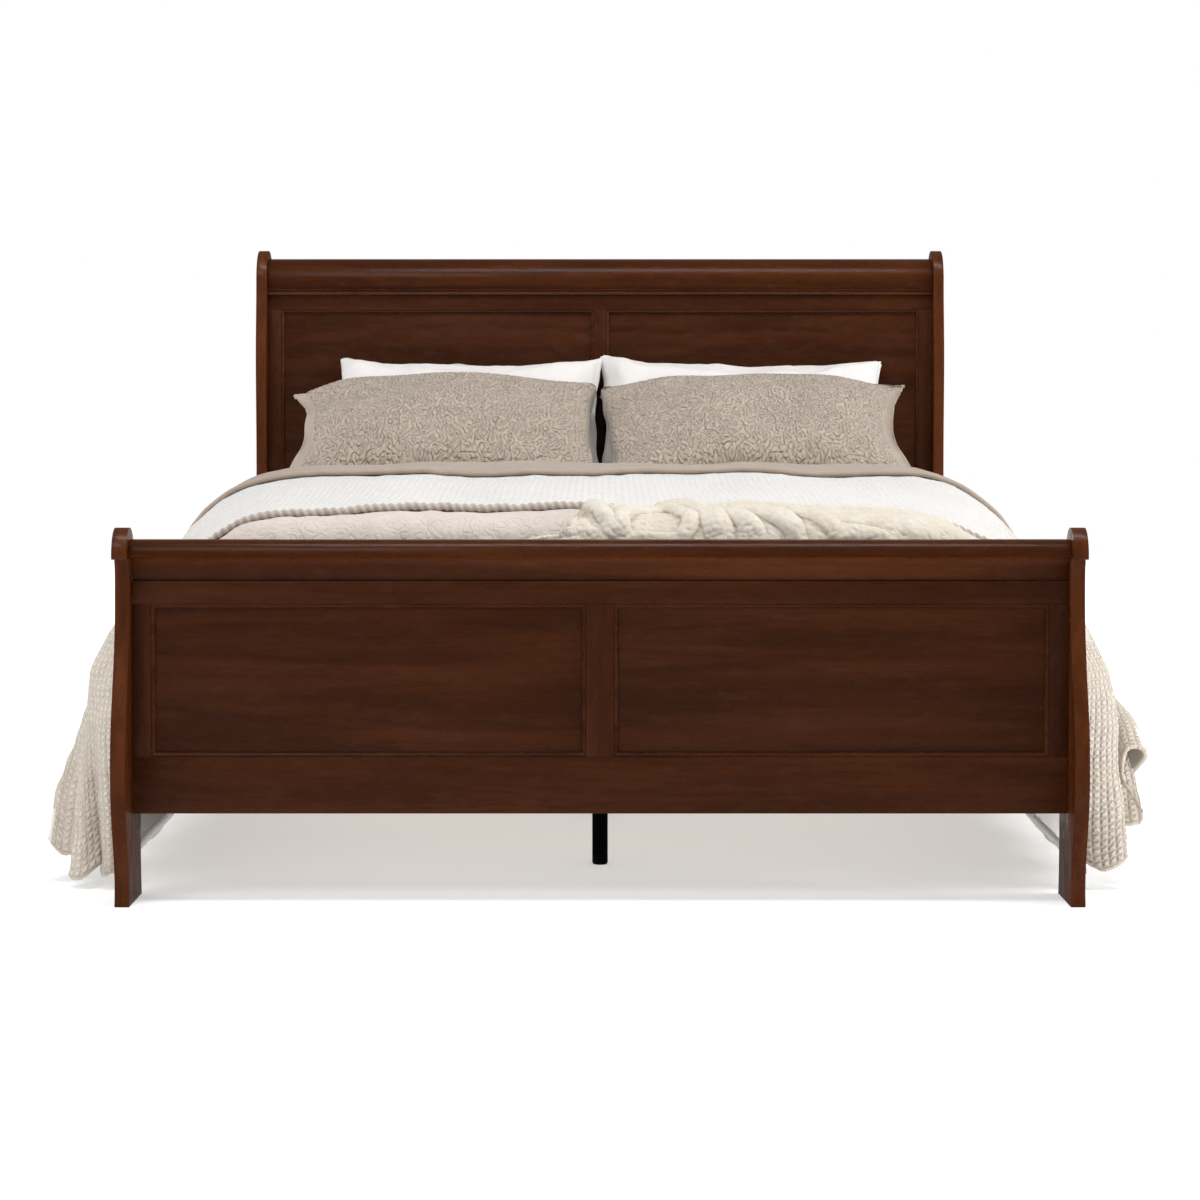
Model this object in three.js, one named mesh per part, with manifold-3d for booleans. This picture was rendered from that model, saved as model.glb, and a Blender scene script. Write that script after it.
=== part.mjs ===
// A queen-size sleigh bed with its mattress set and bedding.
// Millimetres, +Z up. The origin is on the floor under the middle of the bed. The headboard is at +Y and
// the footboard at -Y. The bed is the same on both sides of X = 0, apart from the throw.

import * as THREE from "three";
import { mergeVertices } from "three/addons/utils/BufferGeometryUtils.js";
import Module from "manifold-3d";

const wasm = await Module();
wasm.setup();

// ---------------------------------------------------------------- driving dimensions

const BED_WIDTH = 1600; // over the outer faces of the posts
const BED_LENGTH = 2297; // from the footboard's belly to the back of the headboard's scroll
const HEAD_HEIGHT = 1178;
const FOOT_HEIGHT = 625;
const POST_THICKNESS = 24;
const GAP = 0.3; // between pieces that touch

const POST_OUTER = BED_WIDTH / 2;
const POST_INNER = POST_OUTER - POST_THICKNESS;
const SPAN_HALF = POST_INNER - GAP; // half the length of a piece that fits between two posts

// Each end's profile is drawn in its own y, which runs back from that end's most forward point.
const FOOT_Y = -BED_LENGTH / 2;
const HEAD_DEPTH = 157;
const HEAD_Y = BED_LENGTH / 2 - HEAD_DEPTH;

// The scrolls that top the posts, and the rolls that lie inside them.
const FOOT_SCROLL = { y: 69, r: 45, rollR: 25 };
FOOT_SCROLL.z = FOOT_HEIGHT - FOOT_SCROLL.r;
const HEAD_SCROLL = { y: 87, r: 70, rollR: 51 };
HEAD_SCROLL.z = HEAD_HEIGHT - HEAD_SCROLL.r;
const SCROLL_LIP = 6; // how far a roll or scroll reaches below its centre

// The framed panels at each end: where the frame stands, and the heights of its rails.
const FRAME_THICK = 22;
const PANEL_THICK = 8;
const PANEL_INSET = 8; // from the frame's face to the panel's face
const GROOVE_DEPTH = 8;
const STILE_INNER = 745;
const FOOT_FRAME = { y: 84, bottom: 149, sill: 243, head: 498, top: 536, mullion: 46 };
const HEAD_FRAME = { y: 45, bottom: 420, sill: 540, head: 1039, top: 1073, mullion: 28 };
const HEAD_BEAD_TOP = 1088;
const HEAD_STRETCHER = { bottom: 200, top: 290 };
const TENON = { depth: 12, thick: 8, shoulder: 8 };

// Side rails, and the straight stretch of each post that they meet.
const RAIL = { thick: 22, bottom: 165, top: 335 };
const FOOT_RAIL_SEAT = 172; // where the footboard post's back meets the rail
const CLEAT = { thick: 22, bottom: 180, top: 205, endGap: 46 };
const HOOK_PLATE = { width: 16, thick: 3, bottom: 190, height: 130, hooks: [22, 82] };
const HOOK = { thick: 3, reach: 9, drop: 4, neck: [6, 18] };
const HOOK_SLOT = { halfWidth: 2, low: 5, high: 30 }; // heights over the hook's own
const HOOK_POCKET = { halfWidth: 3, endGap: 12, spare: 4 }; // the room behind the slots

// Slats and the centre legs under every other one.
const SLAT = { count: 5, width: 90, thick: 18, pitch: 322 };
const SLAT_MIDDLE_Y = -3;
const SLAT_BOTTOM = CLEAT.top + GAP;
const LEG = { r: 14, bore: 4.6, flangeR: 34, flangeThick: 3, boreTop: 84 };
const GLIDE = { height: 18, round: 4, stemR: 4.2, stemTop: 60 };

// Mattress set: a queen mattress, 1524 by 2032.
const BOX_SPRING = { half: 750, back: 1030, front: -994, height: 190, corner: 40 };
const MATTRESS = { half: 762, back: 1034, front: -998, height: 221, corner: 70, crown: 50 };
const BOX_SPRING_BOTTOM = SLAT_BOTTOM + SLAT.thick + GAP;
const MATTRESS_BOTTOM = BOX_SPRING_BOTTOM + BOX_SPRING.height + GAP;
const MATTRESS_TOP = MATTRESS_BOTTOM + MATTRESS.height;

// Bedding. Each cover is a shell over the mattress, whose sides hang outside the rails.
const COMFORTER = { thick: 12, hem: 60, front: -1008, back: 480 };
const COMFORTER_FOLD = { front: 300, thick: 30, hem: 200 };
const COMFORTER_FLAP = { half: 756, back: MATTRESS.front - 2, bottom: 430, top: MATTRESS_TOP + 8 };
const QUILT = { thick: 8, hem: 40, front: -960, back: 297, gap: 0.5 };
const DRAPE = { top: 803, shoulder: 90, flare: 0.18 }; // inner half width, rounding and outward slope
const COVER_BASE = MATTRESS_TOP + 3; // the underside of the lowest cover
const PILLOW = { length: 630, height: 380, thick: 110, x: 322, y: 915, z: 800, lean: 56 };
const SHAM = { length: 680, height: 410, thick: 110, x: 345, y: 680, z: 762, lean: 27 };
const THROW = { x: 250, y: -835, halfLength: 400, halfWidth: 115, halfHeight: 19, gap: 0.5 };
const CUSHION = { squareness: 0.55, cornerRound: 0.75, fill: 0.98, around: 24, rings: 12 };

// ---------------------------------------------------------------- materials

function material(color, roughness, metalness = 0) {
  return new THREE.MeshStandardMaterial({ color, roughness, metalness });
}

const WOOD = material(0x44261a, 0.35);
const PALE_WOOD = material(0xb8945f, 0.7);
const STEEL = material(0x8f9296, 0.4, 0.9);
const BLACK_STEEL = material(0x121212, 0.45, 0.6);
const BLACK_PLASTIC = material(0x0b0b0b, 0.5);
const TICKING = material(0xe9e6df, 0.9);
const WHITE_COTTON = material(0xf4f2ee, 0.85);
const TAUPE_LINEN = material(0xb3a394, 0.9);
const CREAM_KNIT = material(0xe8e0d2, 0.95);

// ---------------------------------------------------------------- geometry helpers

const vec = (x, y, z) => new THREE.Vector3(x, y, z);

/** A box between two corners. */
function box(x0, x1, y0, y1, z0, z1) {
  const g = new THREE.BoxGeometry(x1 - x0, y1 - y0, z1 - z0);
  return g.translate((x0 + x1) / 2, (y0 + y1) / 2, (z0 + z1) / 2);
}

function extrude(shape, length, curveSegments) {
  return new THREE.ExtrudeGeometry(shape, { depth: length, bevelEnabled: false, curveSegments });
}

/** A (y, z) outline swept along X. */
function alongX(shape, x0, x1, curveSegments = 16) {
  const basis = new THREE.Matrix4().makeBasis(vec(0, 1, 0), vec(0, 0, 1), vec(1, 0, 0));
  return extrude(shape, x1 - x0, curveSegments).applyMatrix4(basis).translate(x0, 0, 0);
}

/** An (x, z) outline swept along Y. */
function alongY(shape, y0, y1, curveSegments = 8) {
  const basis = new THREE.Matrix4().makeBasis(vec(1, 0, 0), vec(0, 0, 1), vec(0, -1, 0));
  return extrude(shape, y1 - y0, curveSegments).applyMatrix4(basis).translate(0, y1, 0);
}

/** An (x, y) outline swept along Z. */
function alongZ(shape, z0, z1, curveSegments = 6) {
  return extrude(shape, z1 - z0, curveSegments).translate(0, 0, z0);
}

/** A profile of [radius, z] points turned about the Z axis. */
function turned(points, segments) {
  const outline = points.map(([r, z]) => new THREE.Vector2(r, z));
  return new THREE.LatheGeometry(outline, segments).rotateX(Math.PI / 2);
}

function outline(points) {
  return new THREE.Shape(points.map(([a, b]) => new THREE.Vector2(a, b)));
}

function toSolid(geometry) {
  const bare = geometry.index ? geometry.toNonIndexed() : geometry.clone();
  bare.deleteAttribute("normal");
  bare.deleteAttribute("uv");
  const merged = mergeVertices(bare, 1e-4);
  const mesh = new wasm.Mesh({
    numProp: 3,
    vertProperties: merged.attributes.position.array,
    triVerts: new Uint32Array(merged.index.array),
  });
  return new wasm.Manifold(mesh);
}

function toGeometry(solid) {
  const mesh = solid.getMesh();
  const geometry = new THREE.BufferGeometry();
  geometry.setAttribute("position", new THREE.BufferAttribute(mesh.vertProperties, 3));
  geometry.setIndex(new THREE.BufferAttribute(mesh.triVerts, 1));
  geometry.computeVertexNormals();
  return geometry;
}

function cut(geometry, tools) {
  const left = tools.reduce((solid, tool) => solid.subtract(toSolid(tool)), toSolid(geometry));
  return toGeometry(left);
}

function meet(a, b) {
  return toGeometry(toSolid(a).intersect(toSolid(b)));
}

function join(...geometries) {
  const [first, ...rest] = geometries.map(toSolid);
  return toGeometry(rest.reduce((solid, other) => solid.add(other), first));
}

const bed = new THREE.Group();

function add(name, geometry, kind, y = 0) {
  const mesh = new THREE.Mesh(geometry, kind);
  mesh.name = name;
  mesh.position.y = y;
  bed.add(mesh);
  return mesh;
}

const SIDES = [
  ["left", -1],
  ["right", 1],
];

/** A box at one side of the bed: x0 and x1 are distances from the middle plane. */
function sideBox(side, x0, x1, y0, y1, z0, z1) {
  return side > 0 ? box(x0, x1, y0, y1, z0, z1) : box(-x1, -x0, y0, y1, z0, z1);
}

// ---------------------------------------------------------------- posts

/** The footboard post: a sabre foot, a belly at rail height, a neck, and a scroll that rolls forward. */
function footPostOutline() {
  const { y, z, r } = FOOT_SCROLL;
  const toe = 38;
  const belly = 220;
  const neck = 62;
  const front = y - r;
  const under = z - SCROLL_LIP;
  const s = new THREE.Shape();
  s.moveTo(toe, 0);
  s.bezierCurveTo(toe + 18, 80, 0, 120, 0, belly);
  s.bezierCurveTo(0, 350, neck, 380, neck, 530);
  s.quadraticCurveTo(neck, under - 12, neck - 6, under);
  s.lineTo(front + SCROLL_LIP, under);
  s.quadraticCurveTo(front, under, front, z);
  s.absarc(y, z, r, Math.PI, 0, true);
  s.bezierCurveTo(y + r, 455, FOOT_RAIL_SEAT, 455, FOOT_RAIL_SEAT, RAIL.top + 15);
  s.lineTo(FOOT_RAIL_SEAT, 110);
  s.quadraticCurveTo(FOOT_RAIL_SEAT, 50, FOOT_RAIL_SEAT + 9, 0);
  return s;
}

/** The headboard post: nearly straight in front, and a scroll that rolls back over a narrow neck behind. */
function headPostOutline() {
  const { y, z, r } = HEAD_SCROLL;
  const toe = 8;
  const waist = 7;
  const chest = 915; // where the front turns back towards the scroll
  const neck = 96;
  const calf = 128;
  const heel = 140;
  const quirk = -Math.PI / 3; // where the scroll's underside turns into the neck
  const s = new THREE.Shape();
  s.moveTo(toe, 0);
  s.quadraticCurveTo(0, 70, 0, 140);
  s.lineTo(0, RAIL.top + 10);
  s.bezierCurveTo(0, 480, waist, 560, waist, 700);
  s.bezierCurveTo(waist, 800, 0, 830, 0, chest);
  s.bezierCurveTo(0, 990, y - r, 1040, y - r, z);
  s.absarc(y, z, r, Math.PI, quirk, true);
  s.bezierCurveTo(neck + 8, 1036, neck, 1012, neck, 960);
  s.bezierCurveTo(neck, 700, calf - 8, 500, calf, 250);
  s.quadraticCurveTo(calf + 4, 90, heel, 0);
  return s;
}

/** The mortises in a post, in the post's own y: one for each tenoned rail of its frame. */
function mortises(side, frameY, rails) {
  const c = GAP;
  const y0 = frameY + (FRAME_THICK - TENON.thick) / 2 - c;
  return rails.map(([bottom, top]) =>
    sideBox(
      side,
      POST_INNER - 1,
      POST_INNER + TENON.depth + c,
      y0,
      y0 + TENON.thick + 2 * c,
      bottom + TENON.shoulder - c,
      top - TENON.shoulder + c,
    ),
  );
}

const POST_MIDDLE = (POST_OUTER + POST_INNER) / 2;

/** The two ends of a stretch, lower first. */
function ordered(a, b) {
  return [Math.min(a, b), Math.max(a, b)];
}

/** A box on the middle plane of a post, halfWidth to each side of it. */
function postBox(side, halfWidth, y0, y1, z0, z1) {
  return sideBox(side, POST_MIDDLE - halfWidth, POST_MIDDLE + halfWidth, y0, y1, z0, z1);
}

/** The recess for a slot plate and the pocket for its hooks. seat is the face that the rail meets, and
 * into is the direction from that face into the post. */
function hookRecess(side, seat, into) {
  const { width, thick, bottom, height } = HOOK_PLATE;
  const { halfWidth, endGap, spare } = HOOK_POCKET;
  const plate = ordered(seat - into, seat + into * (thick + GAP));
  const pocket = ordered(seat + into * thick, seat + into * (HOOK.reach + spare));
  return [
    postBox(side, width / 2 + GAP, ...plate, bottom - GAP, bottom + height + GAP),
    postBox(side, halfWidth, ...pocket, bottom + endGap, bottom + height - endGap),
  ];
}

const footTenons = [
  [FOOT_FRAME.bottom, FOOT_FRAME.sill],
  [FOOT_FRAME.head, FOOT_FRAME.top],
];
const headTenons = [
  [HEAD_STRETCHER.bottom, HEAD_STRETCHER.top],
  [HEAD_FRAME.bottom, HEAD_FRAME.sill],
  [HEAD_FRAME.head, HEAD_FRAME.top],
];

function post(side, shape, frameY, tenons, seat, into) {
  const [x0, x1] = side > 0 ? [POST_INNER, POST_OUTER] : [-POST_OUTER, -POST_INNER];
  const blank = alongX(shape, x0, x1, 14);
  return cut(blank, [...mortises(side, frameY, tenons), ...hookRecess(side, seat, into)]);
}

for (const [word, side] of SIDES) {
  const foot = post(side, footPostOutline(), FOOT_FRAME.y, footTenons, FOOT_RAIL_SEAT, -1);
  add(`footboard_post_${word}`, foot, WOOD, FOOT_Y);
  const head = post(side, headPostOutline(), HEAD_FRAME.y, headTenons, 0, 1);
  add(`headboard_post_${word}`, head, WOOD, HEAD_Y);
}

// ---------------------------------------------------------------- framed panels of both ends

/** A rail's (y, z) section, with a groove for the panels in its lower or upper edge, or in neither. */
function railOutline(frameY, bottom, top, groove) {
  const y1 = frameY + FRAME_THICK;
  const g0 = frameY + PANEL_INSET - GAP;
  const g1 = g0 + PANEL_THICK + 2 * GAP;
  const edge = (z, depth) => [
    [g1, z],
    [g1, z + depth],
    [g0, z + depth],
    [g0, z],
  ];
  const points = [[frameY, bottom], [frameY, top]];
  if (groove === "top") points.push(...edge(top, -GROOVE_DEPTH).reverse());
  points.push([y1, top], [y1, bottom]);
  if (groove === "bottom") points.push(...edge(bottom, GROOVE_DEPTH));
  return outline(points);
}

/** The two tenons of a rail. */
function tenons(frameY, bottom, top) {
  const y0 = frameY + (FRAME_THICK - TENON.thick) / 2;
  const y1 = y0 + TENON.thick;
  const reach = POST_INNER + TENON.depth;
  const z = [bottom + TENON.shoulder, top - TENON.shoulder];
  return SIDES.map(([, side]) => sideBox(side, SPAN_HALF - 1, reach, y0, y1, ...z));
}

/** A rail between the posts, with a tenon at each end. */
function addRail(name, frameY, y, bottom, top, groove) {
  const board = alongX(railOutline(frameY, bottom, top, groove), -SPAN_HALF, SPAN_HALF);
  add(name, join(board, ...tenons(frameY, bottom, top)), WOOD, y);
}

/** An upright of the frame from x0 to x1, grooved on the edges that face a panel. */
function upright(x0, x1, frameY, sill, head, grooves) {
  const g0 = frameY + PANEL_INSET - GAP;
  const g1 = g0 + PANEL_THICK + 2 * GAP;
  const blank = box(x0, x1, frameY, frameY + FRAME_THICK, sill + GAP, head - GAP);
  const cuts = grooves.map(([a, b]) => box(a, b, g0, g1, sill - 1, head + 1));
  return cut(blank, cuts);
}

function framedPanels(end, frame, y) {
  const { sill, head, mullion } = frame;
  addRail(`${end}_top_rail`, frame.y, y, head, frame.top, "bottom");
  addRail(`${end}_bottom_rail`, frame.y, y, frame.bottom, sill, "top");
  const half = mullion / 2;
  const mullionGrooves = [
    [-half - 1, -half + GROOVE_DEPTH],
    [half - GROOVE_DEPTH, half + 1],
  ];
  add(`${end}_mullion`, upright(-half, half, frame.y, sill, head, mullionGrooves), WOOD, y);
  const inset = GROOVE_DEPTH - 1; // a panel stops 1 mm short of each groove's floor
  const panelY = frame.y + PANEL_INSET;
  for (const [word, side] of SIDES) {
    const [x0, x1] = side > 0 ? [STILE_INNER, SPAN_HALF] : [-SPAN_HALF, -STILE_INNER];
    const groove = side > 0 ? [x0 - 1, x0 + GROOVE_DEPTH] : [x1 - GROOVE_DEPTH, x1 + 1];
    add(`${end}_stile_${word}`, upright(x0, x1, frame.y, sill, head, [groove]), WOOD, y);
    const panelX = [half - inset, STILE_INNER + inset];
    const panelZ = [sill - inset, head + inset];
    const panel = sideBox(side, ...panelX, panelY, panelY + PANEL_THICK, ...panelZ);
    add(`${end}_panel_${word}`, panel, WOOD, y);
  }
}

framedPanels("footboard", FOOT_FRAME, FOOT_Y);
framedPanels("headboard", HEAD_FRAME, HEAD_Y);
addRail("headboard_stretcher", HEAD_FRAME.y, HEAD_Y, HEAD_STRETCHER.bottom, HEAD_STRETCHER.top, null);

// ---------------------------------------------------------------- rolls and mouldings

/** The footboard's roll: a round nose over the frame, a little smaller than the posts' scrolls. */
function footRollOutline() {
  const { y, z, rollR: r } = FOOT_SCROLL;
  const back = FOOT_FRAME.y + FRAME_THICK + 5;
  const under = z - 3;
  const s = new THREE.Shape();
  s.moveTo(y - r + 4, under);
  s.quadraticCurveTo(y - r, under, y - r, z);
  s.absarc(y, z, r, Math.PI, Math.PI / 2, true);
  s.lineTo(back - r, z + r);
  s.absarc(back - r, z, r, Math.PI / 2, 0, true);
  s.lineTo(back, under);
  return s;
}

/** The board under the footboard's roll, which coves forward to meet it. */
function footFriezeOutline() {
  const y0 = FOOT_FRAME.y + 6;
  const top = FOOT_SCROLL.z - 3 - GAP;
  const s = new THREE.Shape();
  s.moveTo(y0, FOOT_FRAME.top + GAP);
  s.lineTo(y0, top - 18);
  s.quadraticCurveTo(y0, top - 4, y0 - 14, top);
  s.lineTo(FOOT_FRAME.y + FRAME_THICK, top);
  s.lineTo(FOOT_FRAME.y + FRAME_THICK, FOOT_FRAME.top + GAP);
  return s;
}

/** The headboard's roll: a large round that runs back over the frame to the scroll's rear. */
function headRollOutline() {
  const { y, z, rollR: r } = HEAD_SCROLL;
  const under = HEAD_BEAD_TOP + GAP;
  const start = Math.PI + Math.asin((z - under) / r);
  const end = -Math.PI / 5;
  const s = new THREE.Shape();
  s.moveTo(y + r * Math.cos(start), under);
  s.absarc(y, z, r, start, end, true);
  s.lineTo(HEAD_FRAME.y + FRAME_THICK + 6, under);
  return s;
}

/** The bead between the headboard's roll and its frame: a strip with a shallow hollow along its face. */
function headBeadOutline() {
  const front = HEAD_FRAME.y - 7;
  const bottom = HEAD_FRAME.top + GAP;
  const s = new THREE.Shape();
  s.moveTo(front, bottom);
  s.lineTo(front, bottom + 3);
  s.quadraticCurveTo(front + 6, (bottom + HEAD_BEAD_TOP) / 2, front, HEAD_BEAD_TOP - 3);
  s.lineTo(front, HEAD_BEAD_TOP);
  s.lineTo(HEAD_FRAME.y + FRAME_THICK, HEAD_BEAD_TOP);
  s.lineTo(HEAD_FRAME.y + FRAME_THICK, bottom);
  return s;
}

add("footboard_roll", alongX(footRollOutline(), -SPAN_HALF, SPAN_HALF), WOOD, FOOT_Y);
add("footboard_frieze", alongX(footFriezeOutline(), -SPAN_HALF, SPAN_HALF, 8), WOOD, FOOT_Y);
add("headboard_roll", alongX(headRollOutline(), -SPAN_HALF, SPAN_HALF, 24), WOOD, HEAD_Y);
add("headboard_bead", alongX(headBeadOutline(), -SPAN_HALF, SPAN_HALF, 8), WOOD, HEAD_Y);

// ---------------------------------------------------------------- side rails and their hooks

const RAIL_FRONT = FOOT_Y + FOOT_RAIL_SEAT + GAP;
const RAIL_BACK = HEAD_Y - GAP;
const RAIL_INNER = POST_MIDDLE - RAIL.thick / 2;
const RAIL_OUTER = POST_MIDDLE + RAIL.thick / 2;

/** The recess in a rail's end for its hook plate. */
function plateRecess(side, end, outward) {
  const { width, thick, bottom, height } = HOOK_PLATE;
  const ys = ordered(end - outward * (thick + GAP), end + outward);
  return postBox(side, width / 2 + GAP, ...ys, bottom - GAP, bottom + height + GAP);
}

/** A hook's (y, z) outline: a neck through the slot, then a lip that drops behind the plate. */
function hookOutline(end, outward, z) {
  const behind = HOOK_PLATE.thick + 3 * GAP;
  const at = (y) => end + outward * y;
  const [neckLow, neckHigh] = HOOK.neck;
  const root = -HOOK_PLATE.thick + 1;
  return outline([
    [at(root), z + neckHigh],
    [at(HOOK.reach), z + neckHigh],
    [at(HOOK.reach), z - HOOK.drop],
    [at(behind + 1), z - HOOK.drop],
    [at(behind), z + neckLow],
    [at(root), z + neckLow],
  ]);
}

/** The plate in a rail's end, with its hooks. */
function hookPlate(side, end, outward) {
  const { width, thick, bottom, height, hooks } = HOOK_PLATE;
  const plate = postBox(side, width / 2, ...ordered(end - outward * thick, end), bottom, bottom + height);
  const x0 = side * POST_MIDDLE - HOOK.thick / 2;
  const teeth = hooks.map((z) => alongX(hookOutline(end, outward, bottom + z), x0, x0 + HOOK.thick));
  return join(plate, ...teeth);
}

/** The plate in a post's edge, with a slot for each hook. seat is the post's face, and into leads into it. */
function slotPlate(side, seat, into) {
  const { width, thick, bottom, height, hooks } = HOOK_PLATE;
  const { halfWidth, low, high } = HOOK_SLOT;
  const [y0, y1] = ordered(seat, seat + into * thick);
  const blank = postBox(side, width / 2, y0, y1, bottom, bottom + height);
  const slots = hooks.map((hook) => {
    const z = bottom + hook;
    return postBox(side, halfWidth, y0 - 1, y1 + 1, z + low, z + high);
  });
  return cut(blank, slots);
}

for (const [word, side] of SIDES) {
  const board = sideBox(side, RAIL_INNER, RAIL_OUTER, RAIL_FRONT, RAIL_BACK, RAIL.bottom, RAIL.top);
  const recesses = [plateRecess(side, RAIL_FRONT, -1), plateRecess(side, RAIL_BACK, 1)];
  add(`side_rail_${word}`, cut(board, recesses), WOOD);
  const cleatX = [RAIL_INNER - GAP - CLEAT.thick, RAIL_INNER - GAP];
  const cleatY = [RAIL_FRONT + CLEAT.endGap, RAIL_BACK - CLEAT.endGap];
  add(`slat_cleat_${word}`, sideBox(side, ...cleatX, ...cleatY, CLEAT.bottom, CLEAT.top), PALE_WOOD);
  add(`rail_hooks_foot_${word}`, hookPlate(side, RAIL_FRONT, -1), STEEL);
  add(`rail_hooks_head_${word}`, hookPlate(side, RAIL_BACK, 1), STEEL);
  add(`post_slots_foot_${word}`, slotPlate(side, FOOT_Y + FOOT_RAIL_SEAT, -1), STEEL);
  add(`post_slots_head_${word}`, slotPlate(side, HEAD_Y, 1), STEEL);
}

// ---------------------------------------------------------------- slats and centre legs

/** A centre leg: a round tube under a flange that is screwed to its slat, bored for the glide's stem. */
function legGeometry() {
  const foot = GLIDE.height + GAP;
  const top = SLAT_BOTTOM - GAP;
  const profile = [
    [LEG.bore, foot],
    [LEG.r, foot],
    [LEG.r, top - LEG.flangeThick],
    [LEG.flangeR, top - LEG.flangeThick],
    [LEG.flangeR, top],
    [0, top],
    [0, LEG.boreTop],
    [LEG.bore, LEG.boreTop],
    [LEG.bore, foot],
  ];
  return turned(profile, 32);
}

/** A glide: the foot that screws out of a centre leg to meet the floor. */
function glideGeometry() {
  const { height, round, stemR, stemTop } = GLIDE;
  const corner = [0, 1, 2, 3].map((i) => {
    const a = (i * Math.PI) / 6;
    return [LEG.r - round + round * Math.sin(a), round - round * Math.cos(a)];
  });
  const profile = [[0, 0], ...corner, [LEG.r, height], [stemR, height], [stemR, stemTop], [0, stemTop]];
  return turned(profile, 32);
}

for (let i = 0; i < SLAT.count; i++) {
  const y = SLAT_MIDDLE_Y + (i - (SLAT.count - 1) / 2) * SLAT.pitch;
  const half = SLAT.width / 2;
  const reach = RAIL_INNER - 2 * GAP - 1;
  const board = box(-reach, reach, y - half, y + half, SLAT_BOTTOM, SLAT_BOTTOM + SLAT.thick);
  add(`slat_${i + 1}`, board, PALE_WOOD);
  if (i % 2) continue;
  const number = i / 2 + 1;
  add(`centre_leg_${number}`, legGeometry(), BLACK_STEEL, y);
  add(`leg_glide_${number}`, glideGeometry(), BLACK_PLASTIC, y);
}

// ---------------------------------------------------------------- mattress set

/** A rectangle from (-half, y0) to (half, y1) with round corners. */
function roundedRectangle(half, y0, y1, corner) {
  const s = new THREE.Shape();
  s.moveTo(-half + corner, y0);
  s.lineTo(half - corner, y0);
  s.absarc(half - corner, y0 + corner, corner, -Math.PI / 2, 0);
  s.lineTo(half, y1 - corner);
  s.absarc(half - corner, y1 - corner, corner, 0, Math.PI / 2);
  s.lineTo(-half + corner, y1);
  s.absarc(-half + corner, y1 - corner, corner, Math.PI / 2, Math.PI);
  s.lineTo(-half, y0 + corner);
  s.absarc(-half + corner, y0 + corner, corner, Math.PI, 1.5 * Math.PI);
  return s;
}

const springPlan = roundedRectangle(BOX_SPRING.half, BOX_SPRING.front, BOX_SPRING.back, BOX_SPRING.corner);
add("box_spring", alongZ(springPlan, BOX_SPRING_BOTTOM, BOX_SPRING_BOTTOM + BOX_SPRING.height), TICKING);
const mattressPlan = roundedRectangle(MATTRESS.half, MATTRESS.front, MATTRESS.back, MATTRESS.corner);
const mattressSection = roundedRectangle(MATTRESS.half, MATTRESS_BOTTOM, MATTRESS_TOP, MATTRESS.crown);
const mattressSlab = alongZ(mattressPlan, MATTRESS_BOTTOM, MATTRESS_TOP);
add("mattress", meet(mattressSlab, alongY(mattressSection, MATTRESS.front, MATTRESS.back)), TICKING);

// ---------------------------------------------------------------- bedding

/** The (x, z) section of a cover: over the mattress, round its shoulders and down both sides to the hem. */
function coverOutline(lift, thick, hem) {
  const { top, shoulder, flare } = DRAPE;
  const bend = COVER_BASE - shoulder;
  const [inner, outer] = [lift, lift + thick].map((d) => ({
    x: top + d,
    z: COVER_BASE + d,
    hemX: top + d + flare * (bend - hem),
  }));
  const s = new THREE.Shape();
  s.moveTo(inner.hemX, hem);
  s.lineTo(inner.x, bend);
  s.quadraticCurveTo(inner.x, inner.z, inner.x - shoulder, inner.z);
  s.lineTo(shoulder - inner.x, inner.z);
  s.quadraticCurveTo(-inner.x, inner.z, -inner.x, bend);
  s.lineTo(-inner.hemX, hem);
  s.lineTo(-outer.hemX, hem);
  s.lineTo(-outer.x, bend);
  s.quadraticCurveTo(-outer.x, outer.z, shoulder - outer.x, outer.z);
  s.lineTo(outer.x - shoulder, outer.z);
  s.quadraticCurveTo(outer.x, outer.z, outer.x, bend);
  s.lineTo(outer.hemX, hem);
  return s;
}

const { front: comforterFront, back: comforterBack } = COMFORTER;
const comforterBody = alongY(coverOutline(0, COMFORTER.thick, COMFORTER.hem), comforterFront, comforterBack);
const { half: flapHalf, back: flapBack, bottom: flapBottom, top: flapTop } = COMFORTER_FLAP;
const footFlap = box(-flapHalf, flapHalf, comforterFront, flapBack, flapBottom, flapTop);
const foldOutline = coverOutline(0, COMFORTER_FOLD.thick, COMFORTER_FOLD.hem);
const foldedEdge = alongY(foldOutline, COMFORTER_FOLD.front, comforterBack);
add("comforter", join(comforterBody, footFlap, foldedEdge), TAUPE_LINEN);

const quiltLift = COMFORTER.thick + QUILT.gap;
add("quilt", alongY(coverOutline(quiltLift, QUILT.thick, QUILT.hem), QUILT.front, QUILT.back), CREAM_KNIT);

function bareSphere() {
  const g = new THREE.SphereGeometry(1, CUSHION.around, CUSHION.rings).rotateX(Math.PI / 2);
  g.deleteAttribute("normal");
  g.deleteAttribute("uv");
  return g;
}

/** A plump rounded cushion, square at its corners, lying in its own XY plane. */
function cushionGeometry(length, height, thick) {
  const { squareness, cornerRound, fill } = CUSHION;
  const squared = (c) => Math.sign(c) * Math.abs(c) ** squareness;
  const g = mergeVertices(bareSphere());
  const p = g.attributes.position;
  for (let i = 0; i < p.count; i++) {
    const [px, py] = [p.getX(i), p.getY(i)];
    const rim = Math.hypot(px, py);
    const nearest = Math.max(Math.abs(px), Math.abs(py), cornerRound * rim) || 1;
    const widen = (fill * rim) / nearest; // from the circle towards the square round it
    const x = (squared(px * widen) * length) / 2;
    const y = (squared(py * widen) * height) / 2;
    p.setXYZ(i, x, y, (p.getZ(i) * thick) / 2);
  }
  g.computeVertexNormals();
  return g;
}

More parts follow.
